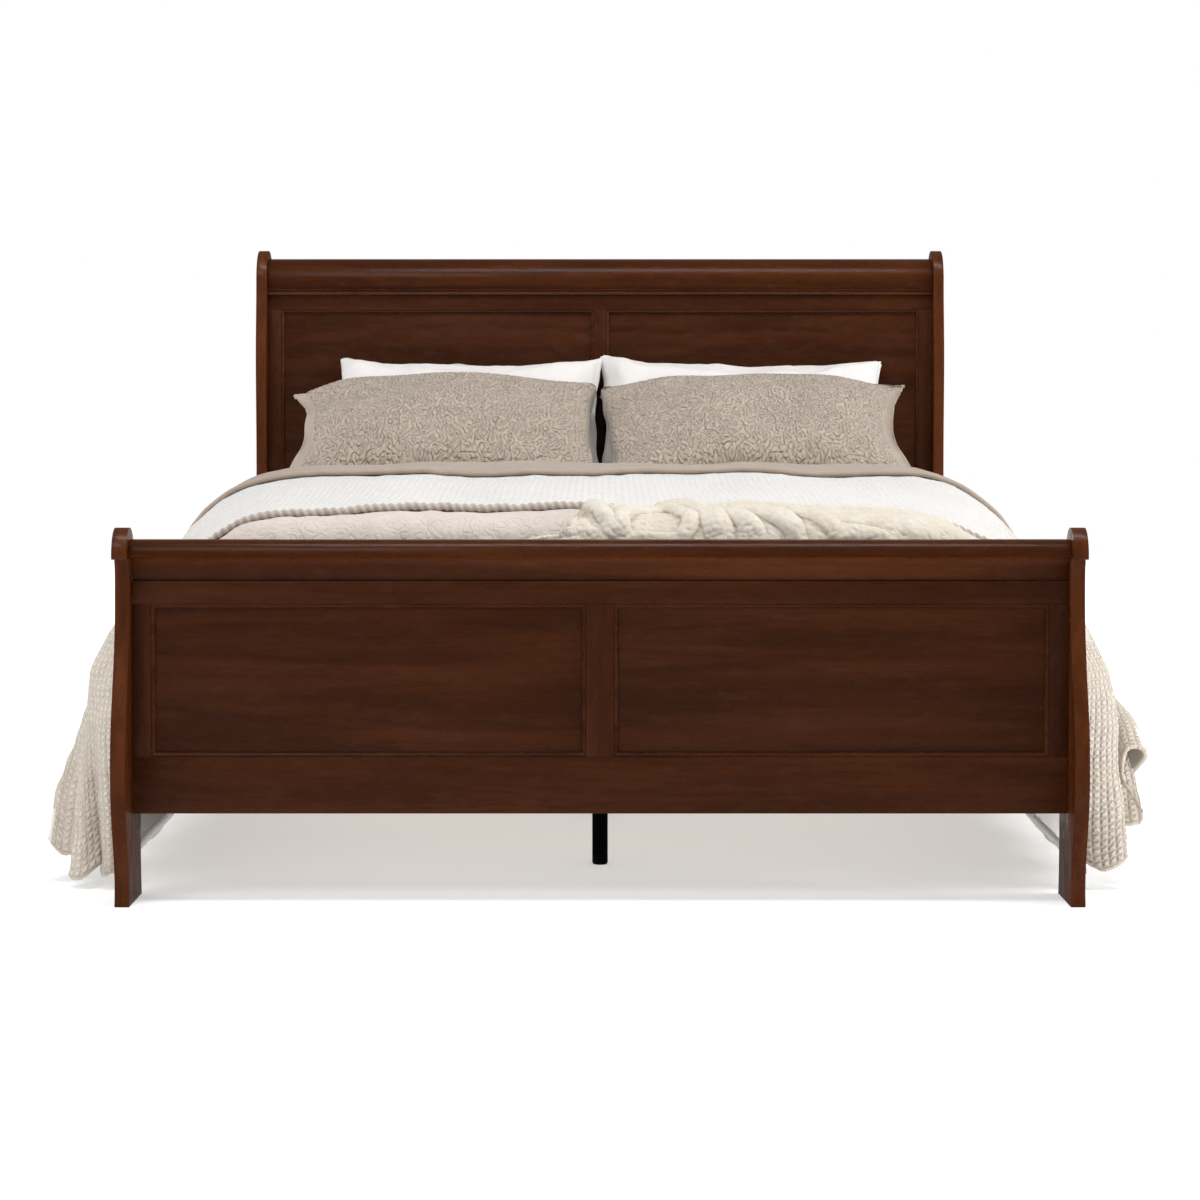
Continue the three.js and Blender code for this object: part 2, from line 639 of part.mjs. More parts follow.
function addCushion(name, kind, size, side) {
  const mesh = add(name, cushionGeometry(size.length, size.height, size.thick), kind, size.y);
  mesh.position.x = side * size.x;
  mesh.position.z = size.z;
  mesh.rotation.x = THREE.MathUtils.degToRad(size.lean);
}

for (const [word, side] of SIDES) {
  addCushion(`pillow_${word}`, WHITE_COTTON, PILLOW, side);
  addCushion(`sham_${word}`, TAUPE_LINEN, SHAM, side);
}

const throwLump = bareSphere().scale(THROW.halfLength, THROW.halfWidth, THROW.halfHeight);
const quiltTop = COVER_BASE + quiltLift + QUILT.thick;
const throwMesh = add("throw_blanket", throwLump, CREAM_KNIT, THROW.y);
throwMesh.position.x = THROW.x;
throwMesh.position.z = quiltTop + THROW.halfHeight + THROW.gap;

export default bed;
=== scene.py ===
import math

import bpy
import numpy as np
from mathutils import Matrix, Vector


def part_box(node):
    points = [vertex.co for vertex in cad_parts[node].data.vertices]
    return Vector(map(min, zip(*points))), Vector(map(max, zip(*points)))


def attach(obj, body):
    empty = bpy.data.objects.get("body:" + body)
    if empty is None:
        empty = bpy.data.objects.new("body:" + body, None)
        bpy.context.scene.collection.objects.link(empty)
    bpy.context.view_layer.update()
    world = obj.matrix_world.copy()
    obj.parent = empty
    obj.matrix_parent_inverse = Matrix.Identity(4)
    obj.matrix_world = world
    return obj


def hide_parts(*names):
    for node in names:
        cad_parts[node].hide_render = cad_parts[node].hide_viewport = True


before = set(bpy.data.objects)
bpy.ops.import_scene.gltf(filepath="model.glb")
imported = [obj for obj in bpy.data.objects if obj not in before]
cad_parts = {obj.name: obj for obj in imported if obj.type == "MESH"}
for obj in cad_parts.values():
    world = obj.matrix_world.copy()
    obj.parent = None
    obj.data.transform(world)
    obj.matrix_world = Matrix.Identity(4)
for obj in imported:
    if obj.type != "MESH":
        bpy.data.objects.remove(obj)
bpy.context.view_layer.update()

# ---- driving places, in metres

MATTRESS_LOW, MATTRESS_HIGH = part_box("mattress")
FOOT_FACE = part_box("footboard_top_rail")[1].y  # the footboard's back, where the comforter is tucked down

FOLD_Y = 0.50  # where the comforter is folded back on itself
FOLD_WIDTH = 0.20
QUILT_FOOT_Y = -0.925  # the quilt's rolled edge across the bed
DRAPE_FRONT_Y = -0.943  # how far the hanging sides reach towards the footboard's posts

CAMERA_PLACE = (0, -6.124, 0.852)
CAMERA_LENS = 91.8  # mm, on a sensor 36 mm wide
CAMERA_DIP = 2  # degrees below level

FLOOR_GLOW = 0.40
FLOOR_FADE = (1.6, 4.5)  # the floor's glow rises to the backdrop's between these distances


# ---- camera, floor and lights

def adjust(thing, **settings):
    for key, value in settings.items():
        setattr(thing, key, value)
    return thing


def link(name, data):
    obj = bpy.data.objects.new(name, data)
    bpy.context.scene.collection.objects.link(obj)
    return obj


def make_camera():
    """At the foot of the bed, a little above the mattress, looking along it and slightly down."""
    data = adjust(bpy.data.cameras.new("camera"), lens=CAMERA_LENS, sensor_width=36, shift_y=-0.086)
    camera = adjust(link("camera", data), location=CAMERA_PLACE,
                    rotation_euler=(math.radians(90 - CAMERA_DIP), 0, 0))
    bpy.context.scene.camera = camera


def ring_surface(name, profile, material, around=96):
    """A surface of rings round the Z axis, from (radius, height) pairs."""
    angles = circle(around)
    verts = [(r * math.cos(a), r * math.sin(a), z) for r, z in profile for a in angles]
    return mesh_object(name, verts, ring_faces(len(profile), around), material)


def stage_material(name, albedo, glow):
    """White that glows a little: glow is its strength, or its strengths near the bed and far from it."""
    n = Nodes(name)
    n.set(Base_Color=(albedo, albedo, albedo, 1), Roughness=0.9, Specular_IOR_Level=0.0, Emission_Color=(1, 1, 1, 1))
    if isinstance(glow, tuple):
        distance = n.add("VectorMath", {0: n.coordinates()}, operation="LENGTH").outputs["Value"]
        glow = n.spread(distance, *FLOOR_FADE, *glow)
    return n.set(Emission_Strength=glow)


def make_stage():
    """A pale floor and, far round it, a white backdrop that throws no light back on the bed."""
    material = stage_material("stage_floor", 0.9, (FLOOR_GLOW, 1.0))
    floor = ring_surface("floor", [(0.001, 0), (3, 0), (7, 0), (9, 0)], material)
    material = stage_material("stage_backdrop", 0.0, 1.0)
    backdrop = ring_surface("backdrop", [(9, 0), (13, 0.1), (17, 1.5), (19, 5), (19.5, 16)], material)
    floor.visible_glossy = backdrop.visible_glossy = False
    backdrop.visible_diffuse = False


def area_light(name, place, target, size, power, mirrored=True):
    data = adjust(bpy.data.lights.new(name, "AREA"), shape="RECTANGLE", size=size[0], size_y=size[1], energy=power)
    facing = (Vector(target) - Vector(place)).to_track_quat("-Z", "Y").to_euler()
    adjust(link(name, data), location=place, rotation_euler=facing, visible_glossy=mirrored)


def make_lights():
    world = bpy.data.worlds.new("world")
    world.use_nodes = True
    sky = world.node_tree.nodes["Background"]
    sky.inputs["Color"].default_value = (1, 1, 1, 1)
    sky.inputs["Strength"].default_value = 0.20
    bpy.context.scene.world = world
    bpy.context.scene.view_settings.view_transform = "Standard"
    area_light("overhead", (0.3, -1.5, 5.0), (0, 0, 0.4), (4.4, 1.1), 195)
    area_light("key", (-2.4, -5.0, 4.4), (0, 0, 0.5), (2.4, 1.6), 84)
    area_light("side_left", (-5.0, 0.5, 2.4), (0, 0, 0.5), (2.0, 3.0), 60)
    area_light("side_right", (5.2, -1.0, 2.6), (0, 0, 0.5), (2.0, 3.0), 110)
    area_light("drape_left", (-3.8, -2.2, 0.9), (-0.9, -0.9, 0.25), (1.2, 1.2), 8, mirrored=False)
    area_light("drape_right", (4.0, -2.2, 0.9), (0.9, -0.9, 0.25), (1.2, 1.2), 40, mirrored=False)
    area_light("back", (0, 5.5, 3.6), (0, 0, 0.7), (3.0, 2.0), 40, mirrored=False)


# ---- materials

class Nodes:
    """A short way to build a material's node tree."""

    def __init__(self, name):
        self.material = bpy.data.materials.new(name)
        self.material.use_nodes = True
        self.tree = self.material.node_tree
        self.shader = self.tree.nodes["Principled BSDF"]

    def feed(self, socket, value):
        if isinstance(value, bpy.types.NodeSocket):
            self.tree.links.new(value, socket)
        else:
            socket.default_value = value

    def add(self, kind, inputs=None, **settings):
        node = adjust(self.tree.nodes.new("ShaderNode" + kind), **settings)
        for key, value in (inputs or {}).items():
            self.feed(node.inputs[key], value)
        return node

    def maths(self, operation, a, b=0.0, c=0.0):
        return self.add("Math", {0: a, 1: b, 2: c}, operation=operation).outputs[0]

    def coordinates(self, kind="Object", scale=(1, 1, 1), move=(0, 0, 0), turn=(0, 0, 0)):
        source = self.add("TexCoord").outputs[kind]
        return self.add("Mapping", {"Vector": source, "Scale": scale, "Location": move, "Rotation": turn}).outputs[0]

    def noise(self, vector, scale, detail=3.0, roughness=0.5, distortion=0.0):
        inputs = {"Vector": vector, "Scale": scale, "Detail": detail, "Roughness": roughness, "Distortion": distortion}
        return self.add("TexNoise", inputs).outputs["Fac"]

    def spread(self, value, low, high, to_low=0.0, to_high=1.0):
        inputs = {"Value": value, "From Min": low, "From Max": high, "To Min": to_low, "To Max": to_high}
        return self.add("MapRange", inputs, interpolation_type="SMOOTHSTEP").outputs[0]

    def mix(self, factor, a, b, blend="MIX"):
        node = self.add("Mix", {"Factor": factor}, data_type="RGBA", blend_type=blend)
        for key, value in ((6, a), (7, b)):
            self.feed(node.inputs[key], value if isinstance(value, bpy.types.NodeSocket) else (*value, 1))
        return node.outputs[2]

    def bump(self, height, distance, strength=1.0, normal=None):
        inputs = {"Height": height, "Distance": distance, "Strength": strength}
        if normal is not None:
            inputs["Normal"] = normal
        return self.add("Bump", inputs).outputs[0]

    def set(self, **inputs):
        for key, value in inputs.items():
            self.feed(self.shader.inputs[key.replace("_", " ")], value)
        return self.material


def wood(name, grain, dark, light, move=(0, 0, 0), gloss=0.27, coat=0.03, streaks=1.0, shine=0.15):
    """Stained wood under lacquer. grain is 0, 1 or 2: the axis that the grain follows."""
    n = Nodes(name)
    along = lambda slow, fast=1.0: tuple(slow if i == grain else fast for i in range(3))
    figure = n.noise(n.coordinates(scale=along(0.07), move=move), 26, 5, 0.62, 0.5)
    rays = n.noise(n.coordinates(scale=along(0.35), move=move), 60, 3, 0.6)
    pores = n.noise(n.coordinates(scale=along(0.035), move=move), 520, 2, 0.7)
    blotch = n.noise(n.coordinates(scale=along(0.5), move=move), 3.2, 3, 0.55)
    tone = n.mix(n.spread(figure, 0.34, 0.66), dark, light)
    shadow = [c * 0.62 for c in dark]
    tone = n.mix(n.spread(pores, 0.56, 0.74, 0.0, 0.65 * streaks), tone, shadow)
    tone = n.mix(n.spread(blotch, 0.35, 0.7, 0.0, 0.32), tone, shadow)
    tone = n.mix(n.spread(rays, 0.52, 0.75, 0.0, 0.22), tone, [min(1, c * 1.5) for c in light])
    roughness = n.spread(rays, 0.3, 0.7, gloss - 0.06, gloss + 0.08)
    normal = n.bump(pores, 0.0006, 0.35)
    normal = n.bump(figure, 0.0012, 0.12, normal)
    return n.set(Base_Color=tone, Roughness=roughness, Normal=normal, Coat_Weight=coat, Coat_Roughness=0.08,
                 Specular_IOR_Level=shine)


def powder_coat(name, colour, roughness=0.45):
    n = Nodes(name)
    n.set(Specular_IOR_Level=0.03)
    grain = n.noise(n.coordinates(), 900, 2)
    wear = n.noise(n.coordinates(), 35, 4)
    tone = n.mix(n.spread(wear, 0.5, 0.8, 0, 0.5), colour, [c * 2.2 + 0.001 for c in colour])
    return n.set(Base_Color=tone, Roughness=n.spread(wear, 0.3, 0.7, roughness - 0.08, roughness + 0.1),
                 Normal=n.bump(grain, 0.0004, 0.4))


def zinc(name):
    n = Nodes(name)
    brushed = n.noise(n.coordinates(scale=(1, 1, 0.05)), 700, 2)
    spangle = n.noise(n.coordinates(), 90, 2)
    tone = n.mix(n.spread(spangle, 0.4, 0.6), (0.42, 0.43, 0.45), (0.62, 0.62, 0.6))
    return n.set(Base_Color=tone, Metallic=1.0, Roughness=n.spread(brushed, 0.3, 0.7, 0.28, 0.45),
                 Normal=n.bump(brushed, 0.0002, 0.4))


def weave_height(n, pitch):
    """Fine over-and-under threads, in object space so that no unwrapping is needed."""
    waves = []
    for turn in ((0, 0, 0.4), (0, 0, 0.4 + math.pi / 2)):
        c = n.coordinates(turn=turn)
        waves.append(n.add("TexWave", {"Vector": c, "Scale": 1 / (pitch * 20), "Distortion": 1.5, "Detail": 1.0,
                                       "Detail Scale": 3.0}).outputs["Fac"])
    return n.maths("MULTIPLY", waves[0], waves[1])


def fabric(name, colour, shade, pitch=0.0016, weave=0.3, sheen=0.25, slub=0.25, pattern=None, on_top=None):
    """Cloth. colour and shade are its light and dark tones, and pattern adds (height, darkness, depth) to it: darkness
    is painted shade in the pattern's low parts.

    on_top is a lighter colour painted where it lies flat on the bed: painted light, as the top takes more light from
    above than the hanging sides.
    """
    n = Nodes(name)
    if on_top:
        # painted light: lighter tones on top of the bed, where more light falls
        colour = n.mix(hanging(n), on_top, colour)
        pale = n.mix(hanging(n), [c * 0.93 for c in on_top], shade)
    else:
        pale = shade
    mottle = n.noise(n.coordinates(), 14, 5, 0.6)
    slubs = n.noise(n.coordinates(scale=(1, 0.12, 0.12)), 420, 2)
    tone = n.mix(n.spread(mottle, 0.3, 0.7, 0, 0.4), colour, pale)
    tone = n.mix(n.spread(slubs, 0.5, 0.75, 0, slub), tone, pale)
    normal = n.bump(weave_height(n, pitch), 0.0006, weave)
    if pattern:
        height, darkness, depth = pattern(n)
        # painted shade: the pattern's low parts are darkened towards the shade tone
        tone = n.mix(darkness, tone, [c * 0.72 for c in shade])
        normal = n.bump(height, depth, 1.0, normal)
    return n.set(Base_Color=tone, Roughness=0.9, Normal=normal, Sheen_Weight=sheen, Sheen_Roughness=0.45,
                 Specular_IOR_Level=0.2)


def hanging(n):
    """0 where the quilt lies on top of the bed and 1 where it hangs: it places on_top's painted light, and sets how
    strong the waffle's relief and painted shade are.
    """
    height = n.add("SeparateXYZ", {"Vector": n.coordinates()}).outputs[2]
    return n.spread(height, 0.62, 0.48, 0, 1)


def waffle(cell):
    """Small raised pads in square cells, in the cloth's own coordinates, with painted shade in the grooves between
    them. On top of the bed they lie flatter, and their painted shade is fainter there.
    """
    def pattern(n):
        uv = n.coordinates("UV", scale=(1 / cell, 1 / cell, 1))
        parts = n.add("SeparateXYZ", {"Vector": n.add("VectorMath", {0: uv}, operation="FRACTION").outputs[0]})
        sides = [n.maths("ABSOLUTE", n.maths("SUBTRACT", parts.outputs[i], 0.5)) for i in (0, 1)]
        edge = n.add("Math", {0: sides[0], 1: sides[1], 2: 0.12}, operation="SMOOTH_MAX").outputs[0]
        ragged = n.noise(n.coordinates("UV"), 230, 2)
        edge = n.maths("ADD", edge, n.maths("MULTIPLY", n.maths("SUBTRACT", ragged, 0.5), 0.34))
        strength = n.maths("MULTIPLY_ADD", hanging(n), 0.68, 0.32)
        height = n.maths("MULTIPLY", n.spread(edge, 0.10, 0.50, 1, 0), strength)
        # painted shade in the grooves between the pads, weaker on top of the bed
        return height, n.maths("MULTIPLY", n.spread(edge, 0.34, 0.52, 0, 0.55), strength), 0.0042
    return pattern


def winding(scale, depth):
    """Quilted lines that wander like a maze: the level lines of a smooth noise, with painted shade along the sunk
    lines.
    """
    def pattern(n):
        field = n.noise(n.coordinates("UV"), scale, 1.0, 0.4, 0.2)
        bands = n.maths("PINGPONG", n.maths("MULTIPLY", field, 5.0), 0.5)
        height = n.spread(bands, 0.02, 0.3)
        # painted shade along the sunk lines
        return height, n.spread(bands, 0.12, 0.0, 0, 0.12), depth
    return pattern


def fleece(n):
    low = n.add("Attribute", attribute_name="crease").outputs["Fac"]
    curls = n.noise(n.coordinates(), 130, 6, 0.75, 0.8)
    tufts = n.noise(n.coordinates(), 420, 3, 0.7, 0.5)
    height = n.maths("ADD", curls, n.maths("MULTIPLY", tufts, 0.6))
    # painted shade: darker in the creases between the throw's folds and in the dips between the curls
    darkness = n.maths("ADD", n.spread(curls, 0.5, 0.3, 0, 0.18), n.spread(low, 0.1, 1.0, 0, 0.8))
    return height, darkness, 0.0028


def plain(n):
    creases = n.noise(n.coordinates(scale=(1, 0.6, 1)), 11, 4, 0.55, 0.6)
    # painted shade in the low parts of the creases
    return creases, n.spread(creases, 0.3, 0.1, 0, 0.1), 0.004


CHERRY_DARK = (0.0415, 0.0106, 0.0029)
CHERRY_LIGHT = (0.0655, 0.0178, 0.0048)
PINE_DARK = (0.46, 0.28, 0.13)
PINE_LIGHT = (0.70, 0.50, 0.28)


def make_materials():
    m = {}
    for axis, word in enumerate("xyz"):
        m["cherry_" + word] = wood("cherry_" + word, axis, CHERRY_DARK, CHERRY_LIGHT, move=(0.3 * axis, 0.7, 0.2))
    # Copies of the cherry in painted light and shade: a share above 1 paints light into a copy, and one below 1 paints
    # shade.
    cherry_in_light = lambda share: [[c * share for c in tone] for tone in (CHERRY_DARK, CHERRY_LIGHT)]
    woods = {
        "cherry_roll": (0, *cherry_in_light(1), dict(move=(1, 0.2, 4), gloss=0.26, coat=0.02, shine=0.08)),
        # painted light: lighter posts, for the lacquer highlights on their curved faces
        "cherry_post_lit": (2, *cherry_in_light(1.42), dict(move=(2, 1, 3), gloss=0.30, coat=0.05, shine=0.10)),
        # painted light: a lighter frieze, lifting the shade under the roll
        "cherry_frieze_lit": (0, *cherry_in_light(1.65), dict(move=(4, 1, 1))),
        # painted shade: a darker headboard, in the same cherry as the rest
        "cherry_head_shaded": (0, *cherry_in_light(0.85), dict(move=(3, 3, 5), streaks=0.8)),
        "cherry_panel": (0, *cherry_in_light(1), dict(move=(5, 3, 2), streaks=0.8)),
        "pine_x": (0, PINE_DARK, PINE_LIGHT, dict(gloss=0.6, coat=0.0)),
        "pine_y": (1, PINE_DARK, PINE_LIGHT, dict(gloss=0.6, coat=0.0)),
    }
    for name, (*tones, more) in woods.items():
        m[name] = wood(name, *tones, **more)
    m["zinc"] = zinc("zinc")
    m["black_steel"] = powder_coat("black_steel", (0.0012, 0.0012, 0.0014))
    m["black_plastic"] = powder_coat("black_plastic", (0.004, 0.004, 0.004), 0.5)
    cloths = {
        "white_cotton": ((0.73, 0.71, 0.69), (0.67, 0.65, 0.63), dict(weave=0.2, slub=0.1, pattern=plain)),
        "taupe_sham": ((0.445, 0.368, 0.306), (0.365, 0.300, 0.246), dict(pattern=stitched)),
        "taupe_quilted": ((0.605, 0.54, 0.49), (0.54, 0.48, 0.43), dict(pattern=winding(42, 0.0007))),
        "taupe_lining": ((0.37, 0.298, 0.240), (0.32, 0.256, 0.205), dict(pattern=plain)),
        "pale_backing": ((0.66, 0.635, 0.61), (0.58, 0.555, 0.53), dict(pattern=plain)),
        # cream_waffle's on_top colour is painted light where the quilt lies on the bed
        "cream_waffle": ((0.745, 0.675, 0.585), (0.595, 0.50, 0.40),
                         dict(pattern=waffle(0.0125), on_top=(0.710, 0.702, 0.682))),
        "cream_hem": ((0.78, 0.735, 0.67), (0.69, 0.63, 0.545), dict(pattern=plain)),
        "cream_fleece": ((0.81, 0.755, 0.66), (0.64, 0.54, 0.40), dict(sheen=0.4, pattern=fleece)),
        "ticking": ((0.76, 0.75, 0.72), (0.68, 0.67, 0.64), dict(pattern=winding(18, 0.0012))),
        "spring_cover": ((0.58, 0.56, 0.53), (0.50, 0.48, 0.45), {}),
        "braid": ((0.50, 0.44, 0.385), (0.38, 0.33, 0.285), dict(pitch=0.0012)),
        "taupe_plain": ((0.405, 0.336, 0.280), (0.350, 0.288, 0.238), dict(pattern=plain)),
        "piping": ((0.62, 0.60, 0.57), (0.52, 0.50, 0.47), dict(pitch=0.001)),
    }
    for name, (*tones, more) in cloths.items():
        m[name] = fabric(name, *tones, **more)
    return m


# ---- mesh helpers

def shade_smooth(mesh, smooth=True):
    mesh.polygons.foreach_set("use_smooth", [smooth] * len(mesh.polygons))


def corner_points(mesh):
    """The index of the point at each face corner."""
    index = np.zeros(len(mesh.loops), np.int32)
    mesh.loops.foreach_get("vertex_index", index)
    return index


def get_vectors(rows, key):
    values = np.zeros(len(rows) * 3, np.float32)
    rows.foreach_get(key, values)
    return values.reshape(-1, 3)


def move_points(obj, places):
    obj.data.vertices.foreach_set("co", places.astype(np.float32).ravel())
    obj.data.update()


def point_value(obj, name, values):
    """Stores a number at each point, for the material to read."""
    obj.data.attributes.new(name, "FLOAT", "POINT").data.foreach_set("value", values.astype(np.float32))


def ring_faces(rings, around, wrap=False):
    """Quads between closed rings of points. With wrap, the last ring joins the first."""
    low = np.arange(rings if wrap else rings - 1)[:, None] * around
    high = (low + around) % (rings * around)
    j = np.arange(around)
    k = (j + 1) % around
    return np.stack([low + j, low + k, high + k, high + j], -1).reshape(-1, 4)


def run_along(line):
    """How far along a line each of its points lies."""
    return np.concatenate([[0], np.cumsum(np.linalg.norm(np.diff(line, axis=0), axis=1))])


def mesh_object(name, verts, faces, material, uv=None, slots=None):
    """A smooth-shaded mesh. uv holds one pair for each vertex, and slots one material index for each face."""
    mesh = bpy.data.meshes.new(name)
    mesh.from_pydata([tuple(v) for v in np.asarray(verts, float)], [], [tuple(f) for f in faces])
    mesh.validate()
    for m in material if isinstance(material, list) else [material]:
        mesh.materials.append(m)
    if uv is not None:
        layer = mesh.uv_layers.new(name="cloth")
        layer.data.foreach_set("uv", np.asarray(uv, np.float32)[corner_points(mesh)].ravel())
    if slots is not None:
        mesh.polygons.foreach_set("material_index", np.asarray(slots, np.int32))
    shade_smooth(mesh)
    return link(name, mesh)


def circle(count):
    """Equal angles once round."""
    return np.linspace(0, math.tau, count, endpoint=False)


def grid_faces(rows, columns, first=0, flip=False):
    i, j = np.meshgrid(np.arange(rows - 1), np.arange(columns - 1), indexing="ij")
    a = first + i * columns + j
    quads = np.stack([a, a + columns, a + columns + 1, a + 1], -1).reshape(-1, 4)
    return quads[:, ::-1] if flip else quads


def unit(v):
    return v / np.maximum(np.linalg.norm(v, axis=-1, keepdims=True), 1e-9)


def surface_normals(points):
    return unit(np.cross(np.gradient(points, axis=0), np.gradient(points, axis=1)))


def rim_of(rows, columns):
    """The grid indices round a sheet's edge, in order."""
    top = [(0, j) for j in range(columns)]
    right = [(i, columns - 1) for i in range(1, rows)]
    bottom = [(rows - 1, j) for j in range(columns - 2, -1, -1)]
    left = [(i, 0) for i in range(rows - 2, 0, -1)]
    return np.array(top + right + bottom + left)


def closed_sheet(name, points, thickness, material, uv, slots=None, back_slot=0):
    """Cloth with real thickness and a rounded rim. points is a (rows, columns, 3) grid down its middle."""
    rows, columns = points.shape[:2]
    normals = surface_normals(points)
    half = (np.ones((rows, columns)) * thickness / 2)[..., None]
    front, back = points + normals * half, points - normals * half
    rim = rim_of(rows, columns)
    inner = np.clip(rim, 1, [rows - 2, columns - 2])
    edge = points[rim[:, 0], rim[:, 1]]
    outward = unit(edge - points[inner[:, 0], inner[:, 1]])
    edge = edge + outward * half[rim[:, 0], rim[:, 1]]
    count = rows * columns
    verts = np.concatenate([front.reshape(-1, 3), back.reshape(-1, 3), edge])
    uvs = np.concatenate([uv.reshape(-1, 2), uv.reshape(-1, 2), uv[rim[:, 0], rim[:, 1]]])
    faces = [grid_faces(rows, columns), grid_faces(rows, columns, count, flip=True)]
    front_slots = np.zeros(len(faces[0]), int) if slots is None else slots.ravel()
    face_slots = [front_slots, front_slots + back_slot]
    on_front = rim[:, 0] * columns + rim[:, 1]
    middle = 2 * count + np.arange(len(rim))
    for ring, other in ((on_front, middle), (middle, on_front + count)):
        faces.append(np.stack([ring, np.roll(ring, -1), np.roll(other, -1), other], -1))
        near = np.minimum(inner, [rows - 2, columns - 2])
        face_slots.append(np.zeros(len(rim), int) if slots is None else slots[near[:, 0], near[:, 1]])
    faces = np.concatenate(faces)
    return mesh_object(name, verts, faces, material, uvs, np.concatenate(face_slots))


def random_field(seed, wavelength, count=24, spread=0.35, stretch=(1.0, 1.0)):
    """A smooth random function of two coordinates, about 1 high, whose bumps are about a wavelength apart."""
    r = np.random.default_rng(seed)
    angle, phase = r.uniform(0, math.tau, (2, count))
    k = math.tau / wavelength * r.uniform(1 - spread, 1 + spread, count)
    kx, ky = k * np.cos(angle) / stretch[0], k * np.sin(angle) / stretch[1]

    def field(x, y):
        total = sum(np.sin(a * x + b * y + p) for a, b, p in zip(kx, ky, phase))
        return total * math.sqrt(2 / count)
    return field


def smooth(t):
    t = np.clip(t, 0, 1)
    return t * t * (3 - 2 * t)


def along_path(corners, distance):
    """Points at given distances along a smooth curve through corners. Past its end the curve runs straight on."""
    corners = np.asarray(corners, float)
    dense = []
    padded = np.vstack([2 * corners[0] - corners[1], corners, 2 * corners[-1] - corners[-2]])
    for a, b, c, d in zip(padded, padded[1:], padded[2:], padded[3:]):
        t = np.linspace(0, 1, 40, endpoint=False)[:, None]
        dense.append(0.5 * (2 * b + (c - a) * t + (2 * a - 5 * b + 4 * c - d) * t ** 2
                            + (3 * b - a - 3 * c + d) * t ** 3))
    dense = np.vstack(dense + [corners[-1:]])
    run = run_along(dense)
    distance = np.asarray(distance, float)
    inside = np.stack([np.interp(distance, run, dense[:, i]) for i in range(dense.shape[1])], -1)
    past = np.maximum(distance - run[-1], 0)[..., None]
    return inside + past * unit(dense[-1] - dense[-2]), run[-1]


# ---- wooden frame

# The material and edge width of each hard node, by the first of these words that its name holds.
FINISHES = [("slat_cleat", "pine_y", 0.0015), ("slat", "pine_x", 0.002), ("rail_hooks", "zinc", 0.0004),
            ("post_slots", "zinc", 0.0004), ("centre_leg", "black_steel", 0.0006),
            ("leg_glide", "black_plastic", 0.0006), ("post_", "cherry_post_lit", 0.003),
            ("frieze", "cherry_frieze_lit", 0.0012), ("roll", "cherry_roll", 0.0012), ("bead", "cherry_roll", 0.0012),
            ("side_rail", "cherry_y", 0.002), ("stile", "cherry_z", 0.0008), ("mullion", "cherry_z", 0.0008),
            ("footboard_panel", "cherry_panel", 0.0005), ("headboard_panel", "cherry_head_shaded", 0.0005),
            ("headboard_top_rail", "cherry_head_shaded", 0.0012), ("headboard_bottom_rail", "cherry_head_shaded", 0.0012),
            ("", "cherry_x", 0.0012)]
SOFT_NODES = ("mattress", "box_spring", "comforter", "quilt", "throw_blanket", "pillow", "sham")


def ease_edges(obj, width):
    """Rounds a CAD node's sharp edges with modifiers, and leaves its mesh alone."""
    adjust(obj.modifiers.new("weld", "WELD"), merge_threshold=1e-5)
    adjust(obj.modifiers.new("flat", "DECIMATE"), decimate_type="DISSOLVE", angle_limit=math.radians(1))
    adjust(obj.modifiers.new("bevel", "BEVEL"), width=width, segments=3, limit_method="ANGLE",
           angle_limit=math.radians(35), harden_normals=True)
    shade_smooth(obj.data)


def dress_frame(m):
    for node in sorted(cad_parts):
        if node.startswith(SOFT_NODES):
            continue
        material, width = next(look for word, *look in FINISHES if word in node)
        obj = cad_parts[node]
        obj.data.materials.clear()
        obj.data.materials.append(m[material])
        ease_edges(obj, width)


def panel_bead(name, panel, sill, head, stile, mullion, front_y, m):
    """The thin mitred moulding round a recessed panel: a quarter round that runs from the frame to the panel."""
    low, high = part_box(panel)
    x0, x1 = sorted((mullion, stile))
    depth = low.y - front_y
    width = 0.0075
    profile = [(0.0, depth), (0.0, 0.0018), (0.0012, 0.0012)]
    for a in np.linspace(0, math.pi / 2, 6):
        profile.append((0.0024 + (width - 0.0024) * math.sin(a), 0.0012 + (depth - 0.0018) * (1 - math.cos(a))))
    profile.append((width, depth))
    corners = [(x0, sill, 1, 1), (x1, sill, -1, 1), (x1, head, -1, -1), (x0, head, 1, -1)]
    verts = [(cx + sx * w, front_y + d, cz + sz * w) for cx, cz, sx, sz in corners for w, d in profile]
    obj = mesh_object(name, verts, ring_faces(4, len(profile), wrap=True)[:, ::-1], m["cherry_x"])
    shade_smooth(obj.data, False)
    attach(obj, "root")


def make_panel_beads(m):
    for end in ("footboard", "headboard"):
        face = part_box(f"{end}_top_rail")[0].y
        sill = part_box(f"{end}_bottom_rail")[1].z
        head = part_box(f"{end}_top_rail")[0].z
        for side, word in ((-1, "left"), (1, "right")):
            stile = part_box(f"{end}_stile_{word}")[0 if side > 0 else 1].x
            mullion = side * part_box(f"{end}_mullion")[1].x
            panel_bead(f"{end}_panel_bead_{word}", f"{end}_panel_{word}", sill, head, stile, mullion, face, m)


# ---- how the covers lie

COMFORTER_THICK = 0.011
COMFORTER_HANG = 0.385  # below the bed's shoulders
FOOT_TUCK = 0.27  # how much of it goes down behind the footboard
FOLD_LIFT = 0.026  # how high its fold at the head stands
QUILT_THICK = 0.007
QUILT_LIFT = 0.0105  # from the comforter's middle surface to the quilt's
COVER_R = 0.055  # how roundly the comforter turns down behind the footboard
BEND_Y = FOOT_FACE + COVER_R + 0.016  # where that turn starts

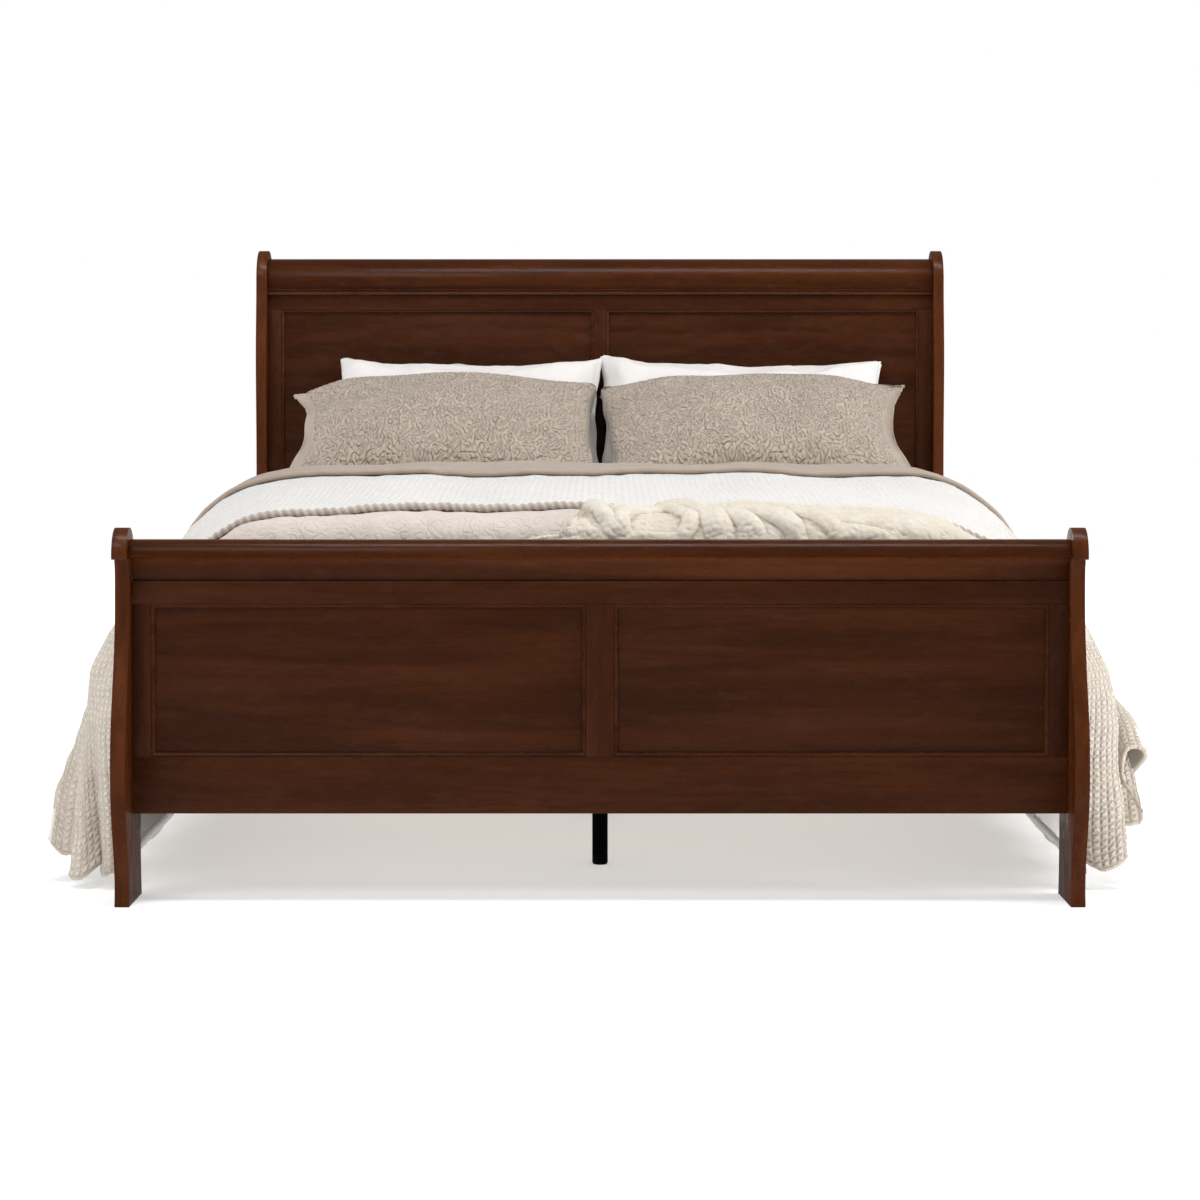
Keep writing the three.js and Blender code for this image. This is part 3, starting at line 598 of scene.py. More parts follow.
# The comforter's section across the bed, from the middle out: near the pillows, and at the foot, where it sags.
HEAD_SECTION = [(0.0, 0.656), (0.35, 0.656), (0.60, 0.652), (0.70, 0.641), (0.775, 0.607), (0.832, 0.553),
                (0.860, 0.490), (0.866, 0.42)]
FOOT_SECTION = [(0.0, 0.6565), (0.37, 0.652), (0.457, 0.646), (0.54, 0.638), (0.60, 0.626), (0.655, 0.598),
                (0.72, 0.552), (0.78, 0.507), (0.824, 0.455), (0.846, 0.41), (0.864, 0.365)]


def foot_weight(y):
    """How far the section at y has changed from the head's to the foot's."""
    return smooth((0.30 - y) / 1.15)


def level(y):
    """How much higher the made bed lies at y than at its middle: up at the pillows and down towards the foot."""
    return 0.007 * smooth((y + 0.1) / 0.6) - 0.015 * smooth((-0.1 - y) / 0.8)


# ---- mattress set

def upholstered_block(name, low, high, crown, corner, border_waves, material):
    """A block with rounded plan corners, crowned faces and a border that bulges between its piped edges."""
    low, high = np.array(low), np.array(high)
    middle, half = (low + high) / 2, (high - low) / 2
    around, layers, inward = 220, 26, 16
    angle = circle(around)
    direction = np.stack([np.cos(angle), np.sin(angle)], -1)
    flat = half[:2] - corner
    square = np.clip(direction * 50, -1, 1) * flat
    reach = np.abs(direction) * (flat.max() * 3)
    outline = np.minimum(reach, flat) * np.sign(direction) + unit(direction) * corner
    side_normal = unit(outline - square * 0.98)
    run = run_along(outline)
    edge = 0.018
    shares = [(k + 1) / inward for k in range(inward)]
    flat_ring = lambda share, z: np.column_stack([outline * share - side_normal * edge * share, np.full(around, z)])
    rings = [flat_ring(share, -half[2]) for share in shares]  # the bottom face, from its middle out
    for t in np.linspace(-1, 1, layers):
        bulge = crown * (1 - t ** 4)
        wave = border_waves * np.cos(run / 0.055 * math.pi)[:, None] * (1 - t ** 2)
        round_in = edge * (1 - np.sqrt(np.clip(1 - np.maximum(0, (abs(t) - 0.86) / 0.14) ** 2, 0, 1)))
        ring = outline + side_normal * (bulge + wave - round_in - crown)
        rings.append(np.column_stack([ring, np.full(around, t * half[2])]))
    rings += [flat_ring(share, half[2]) for share in reversed(shares)]
    points = np.array(rings)
    points[..., :2] += middle[:2]
    points[..., 2] += middle[2]
    count = len(points) * around
    verts = np.vstack([points.reshape(-1, 3), [[*middle[:2], low[2]], [*middle[:2], high[2]]]])
    faces = ring_faces(len(points), around).tolist()
    for j in range(around):  # the fans in the middle of the two flat faces
        k = (j + 1) % around
        faces += [(count, k, j), (count + 1, count - around + j, count - around + k)]
    uv = verts[:, :2] + verts[:, 2:3] * [1.0, 0.7]
    obj = mesh_object(name, verts, faces, material, uv)
    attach(obj, "root")
    return obj, outline + middle[:2] + side_normal * (-crown)


def sag_under_covers(obj, low, high):
    """Presses a mattress down to where the covers lie, lower and rounder towards the foot."""
    co = get_vectors(obj.data.vertices, "co").astype(float)
    head, foot = (np.interp(np.abs(co[:, 0]), *np.transpose(c[:-2])) for c in (HEAD_SECTION, FOOT_SECTION))
    weight = foot_weight(co[:, 1])
    limit = head * (1 - weight) + foot * weight + level(co[:, 1]) - COMFORTER_THICK / 2 - 0.007
    scale = np.where(co[:, 1] < FOLD_Y, np.clip((limit - low.z) / (high.z - low.z), 0.2, 1), 1)
    co[:, 2] = low.z + (co[:, 2] - low.z) * scale
    move_points(obj, co)


def piping(name, loop, z, radius, material):
    """A round cord sewn along a closed loop."""
    sides = 8
    tangent = unit(np.roll(loop, -1, 0) - np.roll(loop, 1, 0))
    normal = np.column_stack([tangent[:, 1], -tangent[:, 0]])
    count = len(loop)
    verts = []
    for a in circle(sides):
        ring = loop + normal * radius * math.cos(a)
        verts.append(np.column_stack([ring, np.full(count, z + radius * math.sin(a))]))
    obj = mesh_object(name, np.vstack(verts), ring_faces(sides, count, wrap=True), material)
    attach(obj, "root")
    return obj


def make_mattress_set(m):
    spring_low, spring_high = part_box("box_spring")
    spring, loop = upholstered_block("box_spring_cover", spring_low, spring_high, 0.002, 0.03, 0.0, m["spring_cover"])
    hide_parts("box_spring")
    for word, z in (("low", spring_low.z + 0.012), ("high", spring_high.z - 0.012)):
        piping(f"box_spring_piping_{word}", loop, z, 0.0035, m["piping"])
    low, high = MATTRESS_LOW, MATTRESS_HIGH
    mattress, loop = upholstered_block("mattress_cover", low, high, 0.006, 0.06, 0.003, m["ticking"])
    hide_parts("mattress")
    sag_under_covers(mattress, low, high)
    for word, z in (("low", low.z + 0.022), ("high", high.z - 0.022)):
        sag_under_covers(piping(f"mattress_piping_{word}", loop, z, 0.0045, m["piping"]), low, high)


# ---- comforter and quilt

def cover_point(share, y, lift):
    """The (x, z) place of a cover at a share of the way from the bed's middle to where it hangs."""
    def at(value):
        head, foot = (along_path(c, value * along_path(c, 0.0)[1])[0] for c in (HEAD_SECTION, FOOT_SECTION))
        weight = foot_weight(y)[..., None]
        return head * (1 - weight) + foot * weight
    place = at(share)
    tangent = unit(at(np.minimum(share + 0.01, 1)) - at(np.maximum(share - 0.01, -1)))
    return place + lift * np.stack([-tangent[..., 1], tangent[..., 0]], -1)


SECTION_LENGTH = along_path(HEAD_SECTION, 0.0)[1]
RIPPLE = random_field(11, 0.30, stretch=(1.0, 1.6))


def cover_ripple(s, y):
    """The gentle unevenness that both covers share on top of the bed."""
    return RIPPLE(s, y) * 0.0030 * (1 - smooth((np.abs(s) - 0.70) / 0.15))


def comforter_wave(side, y, over):
    """How far the comforter's hanging side swings out at y, at a run of over below the bed's shoulder."""
    return np.sin(y * 17 + side * 0.6) * 0.010 * smooth((over - 0.05) / 0.35)


def make_comforter(m):
    """The taupe cover: over the mattress, tucked down at the foot, hanging at the sides, folded back at the head."""
    length = SECTION_LENGTH
    half = length + COMFORTER_HANG
    s = np.linspace(-half, half, 421)
    flat_run = FOLD_Y - BEND_Y
    fold_t = -np.linspace(FOLD_WIDTH + FOLD_LIFT * math.pi, 0, 46)[:-1]
    t = np.concatenate([fold_t, np.linspace(0, flat_run, 190), flat_run + np.linspace(0, FOOT_TUCK, 40)[1:]])
    S, T = np.meshgrid(s, t, indexing="ij")
    foot_share = smooth((T - 0.20) / 1.15)
    place = cover_point(np.minimum(np.abs(S) / length, 1), FOLD_Y - np.maximum(T, 0), 0.0)
    over = np.maximum(np.abs(S) - length, 0)
    z = place[..., 1] - over * (1 - 0.12 * foot_share)
    # Under the rail, the corner by the footboard's leg is tucked in.
    tuck = smooth((0.162 - z) / 0.036) * np.clip((z - 0.022) / 0.105, 0, 1) * smooth((T - 1.50) / 0.12)
    x = np.sign(S) * (place[..., 0] - (0.05 + 0.02 * foot_share) * over - 0.108 * tuck)
    side = smooth((np.abs(S) - 0.70) / 0.10)
    # The foot end turns down between the mattress and the footboard. The sides stop short of the posts.
    past = np.maximum(T - flat_run, 0)
    bend = np.clip(past / COVER_R, 0, math.pi / 2)
    foot_z = -COVER_R * (1 - np.cos(bend)) - np.maximum(past - COVER_R * math.pi / 2, 0)
    y = np.where(T > flat_run, BEND_Y - COVER_R * np.sin(bend), FOLD_Y - T)
    side_end = -0.895 - 0.063 * smooth((z - 0.46) / 0.08)
    side_y = FOLD_Y - (FOLD_Y - side_end) * np.clip(T / t[-1], 0, 1)
    y = np.where(T > 0, y * (1 - side) + side_y * side, y)
    x = x - np.sign(S) * 0.040 * smooth((-0.870 - y) / 0.05) * smooth((0.54 - z) / 0.08) * smooth((z - 0.17) / 0.05)
    on_top = np.clip((z - 0.3) / 0.35, 0, 1)
    z = z + foot_z * (1 - side) + level(y) * on_top
    # The head end folds over itself: a half turn, then back towards the foot.
    radius = FOLD_LIFT / 2
    turn = np.clip(-T / radius, 0, math.pi)
    back = np.maximum(-T - radius * math.pi, 0)
    cross_x, cross_z = np.gradient(x, axis=0), np.gradient(z, axis=0)
    size = np.maximum(np.hypot(cross_x, cross_z), 1e-9)
    folded = T < 0
    raised = folded * radius * (1 - np.cos(turn)) * (1 - 0.28 * smooth(back / FOLD_WIDTH))
    y = np.where(folded, FOLD_Y + radius * np.sin(turn) - back, y)
    x = x - cross_z / size * raised
    z = z + cross_x / size * raised
    points = np.stack([x, y, z], -1)
    pucker = random_field(12, 0.055)(S, T) * 0.0008
    calm = 1 - smooth((-0.70 - y) / 0.12)
    points[..., 0] += np.sign(S) * comforter_wave(np.sign(S), y, over) * calm
    points[..., 2] += cover_ripple(S, y)
    points += surface_normals(points) * (pucker * np.where(folded, 0.5, 1.0))[..., None]
    # Cloths in pairs, under and over: at the fold, elsewhere, and at the corners by the footboard's legs.
    cloths = ["taupe_lining", "taupe_quilted", "pale_backing", "taupe_quilted", "pale_backing", "pale_backing"]
    under = np.where(T[:-1, :-1] > 0.06, 2, 0)
    under[(T[:-1, :-1] > 1.40) & (np.abs(S[:-1, :-1]) > length + 0.08)] = 4
    obj = closed_sheet("comforter_cloth", points, COMFORTER_THICK, [m[c] for c in cloths], np.stack([S, T], -1),
                       under, back_slot=1)
    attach(obj, "root")
    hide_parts("comforter")


HEM_TURN = (0.803, 0.755)  # the share of the left and right hem, from the head, that shows its plain band


def drape_plan(v, side):
    """The hem's place (x, y, z) at share v of the way from the head to the foot corner, on one side.

    The corners of its path are in millimetres.
    """
    left = [(872, 330, 75), (888, 180, 60), (872, 50, 62), (896, -100, 55), (876, -240, 60), (903, -390, 50),
            (884, -520, 55), (908, -650, 48), (924, -735, 45), (940, -795, 56), (952, -838, 74), (926, -856, 52),
            (898, -862, 60), (890, -872, 50), (896, -888, 28), (904, -908, 20), (882, -928, 22), (862, -918, 38),
            (850, -902, 45), (846, -928, 28), (830, -938, 30), (814, -922, 50)]
    right = [(870, 330, 70), (890, 160, 62), (870, 20, 58), (893, -130, 62), (876, -270, 55), (904, -410, 60),
             (886, -550, 58), (902, -660, 78), (908, -735, 118), (922, -785, 170), (950, -835, 222), (922, -848, 238),
             (902, -854, 222), (908, -860, 178), (934, -872, 118), (912, -878, 106), (882, -874, 104),
             (884, -896, 80), (900, -920, 58), (882, -935, 45), (850, -938, 35), (826, -926, 50), (812, -916, 60)]
    corners = np.array(left if side < 0 else right) / 1000
    return along_path(corners, v * along_path(corners, 0.0)[1])[0]


def make_braid(name, points, material, radius=0.0068):
    """A twisted cord sewn along the quilt's foot edge, where it crosses the top of the bed."""
    line = points[:, -1]
    line = line[np.abs(line[:, 0]) < 0.80]
    line = line[line[:, 2] > 0.50]
    run = run_along(line)
    along = np.arange(0, run[-1], 0.0016)
    line = np.stack([np.interp(along, run, line[:, i]) for i in range(3)], -1)
    line += [0, -0.003, 0.0015]
    sides = 12
    verts = []
    for theta in circle(sides):
        swell = radius * (1 + 0.22 * np.cos(2 * (theta - along / 0.014 * math.pi)))
        swell = swell * np.clip(np.minimum(along, run[-1] - along) / 0.01, 0.2, 1)
        offset = np.stack([0 * along, swell * math.cos(theta), swell * math.sin(theta)], -1)
        verts.append(line + offset)
    count = len(along)
    faces = (grid_faces(sides + 1, count) % (sides * count)).tolist()
    faces += [range(0, sides * count, count)[::-1], range(count - 1, sides * count, count)]
    obj = mesh_object(name, np.vstack(verts), faces, material)
    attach(obj, "root")
    return obj


def make_quilt(m):
    """The cream quilt: rolled at its foot edge, hanging in folds at both sides."""
    hang_rows, top_rows, columns = 96, 190, 230
    v = np.linspace(0, 1, columns)
    v = v - 0.12 * np.sin(math.pi * v) * v  # closer columns towards the foot, where the folds are tight
    parts = []
    top_y0 = FOLD_Y - FOLD_WIDTH + 0.03
    S, V = np.meshgrid(np.linspace(-SECTION_LENGTH, SECTION_LENGTH, top_rows), v, indexing="ij")
    edge = np.abs(S) / SECTION_LENGTH
    foot = QUILT_FOOT_Y + (DRAPE_FRONT_Y - QUILT_FOOT_Y) * smooth((edge - 0.62) / 0.38)
    bow = 0.012 * random_field(21, 0.9)(S, 0 * S) * (1 - smooth((edge - 0.5) / 0.4))
    Y = top_y0 + (foot + bow - top_y0) * V
    place = cover_point(edge, Y, QUILT_LIFT)
    Z = place[..., 1] + level(Y) * np.clip((place[..., 1] - 0.3) / 0.35, 0, 1) + cover_ripple(S, Y)
    top = np.stack([np.sign(S) * place[..., 0], Y, Z], -1)
    for side in (-1, 1):
        hem = drape_plan(v, side)
        start = top[0 if side < 0 else -1]
        before = top[1 if side < 0 else -2]
        h = np.linspace(0, 1, hang_rows)[1:, None, None]
        hem_point = np.stack([side * hem[:, 0], hem[:, 1], hem[:, 2]], -1)
        chord = np.linalg.norm(hem_point - start, axis=-1, keepdims=True)
        straight = (hem_point - start) / chord
        leaving = unit(0.22 * unit(start - before) + 0.78 * straight) * chord
        arriving = unit(0.75 * straight + [0, 0, -0.25]) * chord
        h2, h3 = h ** 2, h ** 3
        sheet = ((2 * h3 - 3 * h2 + 1) * start + (h3 - 2 * h2 + h) * leaving
                 + (3 * h2 - 2 * h3) * hem_point + (h3 - h2) * arriving)
        fold_phase = random_field(31 + side, 0.12)(v * 2.0, 0 * v)
        sheet[..., 0] += side * 0.006 * np.sin(math.pi * h[..., 0] * 0.9) * fold_phase
        # Under the comforter's fold it lies flat against the comforter.
        over = np.maximum(HEAD_SECTION[-1][1] - sheet[..., 2], 0)
        under_fold = HEAD_SECTION[-1][0] + QUILT_LIFT - 0.05 * over + comforter_wave(side, sheet[..., 1], over)
        near = 1 - smooth((top_y0 - 0.045 - sheet[..., 1]) / 0.13)
        sheet[..., 0] += (side * under_fold - sheet[..., 0]) * near
        parts.append(sheet)
    points = np.concatenate([parts[0][::-1], top, parts[1]])
    # The foot edge of the hanging parts curls in behind the footboard's posts.
    down_share = np.concatenate([h[::-1, :, 0], np.zeros((top_rows, 1)), h[:, :, 0]])
    curl = smooth((v - 0.93) / 0.07) * smooth((0.53 - points[..., 2]) / 0.12) * (1 - down_share) ** 0.5
    points[..., 0] -= np.sign(points[..., 0]) * 0.054 * curl
    steps = np.linalg.norm(np.diff(points, axis=0), axis=-1).mean(1)
    across = np.concatenate([[0], np.cumsum(steps)])
    down_run = np.array([run_along(line) for line in points])
    # The hanging parts' threads run straight down from the bed's edge.
    threads = down_run.copy()
    threads[:hang_rows - 1] = down_run[hang_rows - 1]
    threads[-(hang_rows - 1):] = down_run[-hang_rows]
    uv = np.stack([np.repeat(across[:, None], columns, 1), threads], -1)
    hanging = smooth((0.62 - points[..., 2]) / 0.1)
    broad, fine = (random_field(*kind)(uv[..., 0], uv[..., 1]) for kind in ((41, 0.20), (42, 0.05)))
    points += surface_normals(points) * (broad * 0.0026 * hanging + fine * 0.0007)[..., None]
    # A smooth hem band along the hanging edges.
    band = 0.058
    left_band = (across[:-1] < band)[:, None] & (v[:-1] < HEM_TURN[0])
    right_band = (across[1:] > across[-1] - band)[:, None] & (v[:-1] < HEM_TURN[1])
    slots = (left_band | right_band).astype(int)
    from_foot = down_run[:, -1:] - down_run
    edge_roll = np.sqrt(np.clip(1 - ((from_foot - 0.008) / 0.010) ** 2, 0, 1))
    rim_roll = smooth(1 - np.minimum(across, across[-1] - across) / 0.012)[:, None]
    thickness = QUILT_THICK + 0.002 * edge_roll + 0.003 * rim_roll
    braid = make_braid("quilt_foot_braid", points, m["braid"])
    obj = closed_sheet("quilt_cloth", points, thickness, [m["cream_waffle"], m["cream_hem"]], uv, slots)
    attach(obj, "root")
    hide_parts("quilt")


# ---- pillows and shams

def pillow_shape(u, v, side, size, pull, flange, taper, tucked, droop):
    """A point of a pillow whose faces meet in a seam: v runs from -1 to 1 and u a little past, over the flanges.

    The pillow is wider at its top by the share taper. tucked is the end (-1 or 1) whose flange is bent back, and
    the upper corner at the other end hangs by droop.
    """
    length, height, thick = size
    inside = np.clip(u, -1, 1)
    bent = np.where(u * tucked > 1, (u * tucked - 1) * length / 2, 0)
    x = length / 2 * np.where(bent > 0, inside, u) * (1 - pull[0] * (1 - v ** 2) * (1 - 0.7 * (u * tucked > 0)))
    x = x * (1 + taper * v)
    y = height / 2 * v * (1 - pull[1] * (1 - u ** 2))
    y = y - droop * smooth((-u * tucked - 0.70) / 0.38) * np.maximum(v, 0) ** 2
    plump = (np.clip(1 - np.abs(inside) ** 2.6, 0, 1) * np.clip(1 - np.abs(v) ** 2.2, 0, 1)) ** 0.55
    flat = 0.0014 * np.clip((1 - np.abs(v)) / 0.05, 0, 1) if flange else 0
    return np.stack([x, y, side * np.maximum(thick / 2 * plump, flat) - 0.95 * bent], -1)


def inflate(obj, cap, pinned=None, frames=20):
    """Swells a closed cloth under pressure, and then moves no point further than cap. pinned points stay put."""
    before = np.array([p.co for p in obj.data.vertices])
    modifier = obj.modifiers.new("cloth", "CLOTH")
    settings = adjust(modifier.settings, use_pressure=True, uniform_pressure_force=4, quality=6,
                      tension_stiffness=12, compression_stiffness=12, bending_stiffness=0.4)
    settings.effector_weights.gravity = 0
    if pinned is not None:
        obj.vertex_groups.new(name="pinned").add([int(i) for i in pinned], 1.0, "REPLACE")
        settings.vertex_group_mass = "pinned"
    scene = bpy.context.scene
    for number in range(1, frames + 1):
        scene.frame_set(number)
    shown = obj.evaluated_get(bpy.context.evaluated_depsgraph_get())
    after = np.array([p.co for p in shown.to_mesh().vertices])
    shown.to_mesh_clear()
    obj.modifiers.remove(modifier)
    scene.frame_set(1)
    move = after - before
    size = np.linalg.norm(move, axis=1, keepdims=True)
    move_points(obj, before + move * np.minimum(1, cap / np.maximum(size, 1e-9)))


def apply_subdivision(obj, levels):
    modifier = obj.modifiers.new("fine", "SUBSURF")
    modifier.levels = modifier.render_levels = levels
    shown = obj.evaluated_get(bpy.context.evaluated_depsgraph_get())
    mesh = bpy.data.meshes.new_from_object(shown)
    obj.modifiers.remove(modifier)
    obj.data = mesh


def vertex_uv(mesh):
    uv = np.zeros(len(mesh.loops) * 2, np.float32)
    mesh.uv_layers[0].data.foreach_get("uv", uv)
    result = np.zeros((len(mesh.vertices), 2))
    result[corner_points(mesh)] = uv.reshape(-1, 2)
    return result


def raise_along_normals(obj, height):
    """height is a function of the cloth's own coordinates."""
    normal = get_vectors(obj.data.vertex_normals, "vector")
    move_points(obj, get_vectors(obj.data.vertices, "co") + normal * height(vertex_uv(obj.data))[:, None])


def cushion(name, size, place, lean, turn, pull, material, seed, cap, swell, flange=0.0, tilt=0.0, taper=0.0,
            tucked=0, droop=0.0, columns=66, rows=38):
    """A stuffed cushion, blown up by cloth simulation in its own plane and then put in its place."""
    length, height, _ = size
    reach = 1 + 2 * flange / length
    u, v = np.meshgrid(np.linspace(-reach, reach, columns), np.linspace(-1, 1, rows), indexing="ij")
    slack = random_field(seed, 0.9)(u, v) * 0.004
    front = pillow_shape(u, v, 1, size, pull, flange, taper, tucked, droop)
    back = pillow_shape(u, v, -1, size, pull, flange, taper, tucked, droop)
    front[..., 2] += slack * np.clip(1 - u ** 2, 0, 1) * (1 - v ** 2)
    rim = rim_of(columns, rows)
    count = columns * rows
    back_index = np.arange(count) + count
    flat_rim = rim[:, 0] * rows + rim[:, 1]
    back_index[flat_rim] = flat_rim
    verts = np.vstack([front.reshape(-1, 3), back.reshape(-1, 3)])
    quads = grid_faces(columns, rows)
    faces = np.vstack([quads, back_index[quads[:, ::-1]]])
    used = np.unique(faces)
    renumber = np.full(2 * count, -1)
    renumber[used] = np.arange(len(used))
    flat = np.stack([u * length / 2, v * height / 2], -1).reshape(-1, 2)
    uv = np.vstack([flat, flat + [1.7, 0.9]])
    beyond = np.abs(u) > 1.0
    edge_face = (beyond[:-1, :-1] & beyond[1:, 1:]).ravel().astype(int)
    obj = mesh_object(name, verts[used], renumber[faces], material, uv[used], np.tile(edge_face, 2))
    held = np.tile(beyond.ravel(), 2)[used] if flange else None
    inflate(obj, cap, None if held is None else np.where(held)[0])
    apply_subdivision(obj, 2)
    raise_along_normals(obj, swell)
    turned = Matrix.Translation(place) @ Matrix.Rotation(math.radians(turn), 4, "Z") \
        @ Matrix.Rotation(math.radians(lean), 4, "X") @ Matrix.Rotation(math.radians(-tilt), 4, "Z")
    obj.data.transform(turned)
    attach(obj, "root")
    return obj


def make_pillows(m):
    for side, word, x, length, tilt in ((-1, "left", -0.303, 0.648, 0.0), (1, "right", 0.3265, 0.692, 1.2)):
        low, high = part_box(f"pillow_{word}")
        middle = (low + high) / 2
        wrinkle = random_field(60 + side, 0.16)
        soft = random_field(70 + side, 0.05)
        swell = lambda uv: wrinkle(uv[:, 0], uv[:, 1]) * 0.0022 + soft(uv[:, 0], uv[:, 1]) * 0.0004
        place = Vector((x, middle.y, middle.z - 0.014))
        obj = cushion(f"pillow_cloth_{word}", (length, 0.365, 0.115), place, 54, side * 2, (0.04, 0.10),
                      m["white_cotton"], 50 + side, 0.016, swell, tilt=tilt)
        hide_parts(f"pillow_{word}")


MAZE_DEPTH = 0.0027
SHAM_SIZE = (0.645, 0.42, 0.13)  # inside its flanges


def maze_height(seed):
    """Stitched lines that wind about the cloth, as a sunk line with puffed ground between."""
    field = random_field(seed, 0.0160, count=40, spread=0.22, stretch=(1.0, 1.6))
    patch = random_field(seed + 5, 0.12)

    def height(uv):
        value = field(uv[:, 0], uv[:, 1]) + 0.25 * patch(uv[:, 0], uv[:, 1])
        return MAZE_DEPTH * (1 - np.exp(-(value / 0.40) ** 2))
    return height


def stitched(n):
    """Paints shade into the sunk stitched lines, whose shape is in the mesh, and sets finer ones between them, with
    painted shade too.
    """
    sunk = n.add("Attribute", attribute_name="stitch").outputs["Fac"]
    field = n.noise(n.coordinates("UV", scale=(1, 0.7, 1)), 62, 0.0)
    bands = n.maths("PINGPONG", n.maths("MULTIPLY", field, 4.0), 0.5)
    puffed = n.maths("SUBTRACT", n.spread(bands, 0.02, 0.28), n.maths("MULTIPLY", sunk, 0.4))
    # painted shade along the sunk lines, from the mesh's 'stitch' value and from the finer bands
    darkness = n.maths("ADD", n.spread(bands, 0.16, 0.0, 0, 0.35), n.spread(sunk, 0.3, 1.0, 0, 0.4))
    return puffed, darkness, 0.0030


def make_shams(m):
    for side, word in ((-1, "left"), (1, "right")):
        low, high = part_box(f"sham_{word}")
        middle = (low + high) / 2
        maze = maze_height(80 + side)
        wrinkle = random_field(90 + side, 0.22)

        def swell(uv):
            inside = smooth((SHAM_SIZE[0] / 2 - np.abs((uv[:, 0] + 0.85) % 1.7 - 0.85)) / 0.012)
            return maze(uv) * inside + 0.003 * wrinkle(uv[:, 0], uv[:, 1])
        place = Vector((side * 0.338, middle.y, middle.z + 0.006))
        obj = cushion(f"sham_cloth_{word}", SHAM_SIZE, place, 27, side * -1.5, (0.10, -0.01),
                      [m["taupe_sham"], m["taupe_plain"]], 55 + side, 0.020, swell, flange=0.028,
                      tilt=-1.8 if side > 0 else 0.4, taper=0.035 if side > 0 else 0.012, tucked=-side,
                      droop=0.055 if side < 0 else 0.012, columns=88, rows=52)
        # how sunk each point is, stored as 'stitch' for the painted shade along the stitched lines
        point_value(obj, "stitch", 1 - maze(vertex_uv(obj.data)) / MAZE_DEPTH)
        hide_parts(f"sham_{word}")


# ---- throw

# Each fold of the throw, in millimetres: its start, middle and end, as (x, distance past the bend), its half width
# and its height.
THROW_FOLDS = [
    [(-160, 90), (-100, 78), (-40, 64), 18, 7],
    [(-110, 92), (-60, 90), (0, 88), 14, 8],
    [(-70, 68), (-45, 72), (-20, 78), 12, 8],
    [(-22, 0), (-4, 20), (20, 62), 18, 15],
    [(36, 70), (44, 26), (86, -4), 15, 12],
    [(76, -4), (116, -14), (142, 14), 15, 16],
    [(138, 6), (152, 34), (140, 66), 13, 14],
    [(45, 80), (90, 76), (135, 74), 12, 11],
    [(30, -12), (55, -28), (95, -36), 12, 8],
    [(108, -40), (152, -34), (170, 14), 17, 21],
    [(162, 24), (186, 36), (200, 78), 24, 14],
    [(208, -8), (226, 2), (240, 18), 12, 7],
    [(222, 30), (246, 46), (252, 82), 21, 13],
    [(278, 12), (300, 36), (328, 84), 18, 13],
    [(290, 4), (375, 34), (480, 84), 15, 10],
    [(345, 22), (450, 34), (600, 72), 14, 3],
]
THROW_BACK = [(-190, 87), (-120, 80), (-65, 70), (-36, 30), (-14, -16), (30, -40), (110, -58), (165, -64), (250, -66),
              (360, -70), (500, -68), (600, -60), (650, -30), (690, 20)]  # the same for its back edge


def bed_end(x, q, lift):
    """The place of a point above the made bed's foot end: q is its distance past the bend, negative on the flat."""
    radius = COVER_R + COMFORTER_THICK / 2
    angle = np.clip(q / radius, 0, 1.45)
    past = np.maximum(q - radius * 1.45, 0)
    y = BEND_Y - np.minimum(q, 0) - radius * np.sin(angle) - past * math.cos(1.45)
    section = np.interp(np.abs(x), *np.transpose(FOOT_SECTION))
    top = section + COMFORTER_THICK / 2 + cover_ripple(x, y)
    z = top + level(y) - radius * (1 - np.cos(angle)) - past * math.sin(1.45)
    on_quilt = smooth((y - QUILT_FOOT_Y + 0.012) / 0.02)
    lift = lift + on_quilt * 0.010
    return np.stack([x, y - lift * np.sin(angle), z + lift * np.cos(angle)], -1)


def fold_height(x, q, fold):
    """The height that one fold adds: a rounded ridge along a bent line, lower towards its ends."""
    *points, width, height = fold
    a, b, c = (np.array(p) / 1000 for p in points)
    best, where = np.full(x.shape, 9.0), np.zeros(x.shape)
    for t in np.linspace(0, 1, 41):
        px, pq = (1 - t) ** 2 * a + 2 * t * (1 - t) * (2 * b - (a + c) / 2) + t ** 2 * c
        d = np.hypot(x - px, q - pq)
        where = np.where(d < best, t, where)
        best = np.minimum(best, d)
    tall = height / 1000 * (0.65 + 0.35 * np.sin(math.pi * np.clip(where, 0.05, 0.95)))
    return tall * np.clip(1 - (best / (width / 1000)) ** 2, 0, 1) ** 0.55


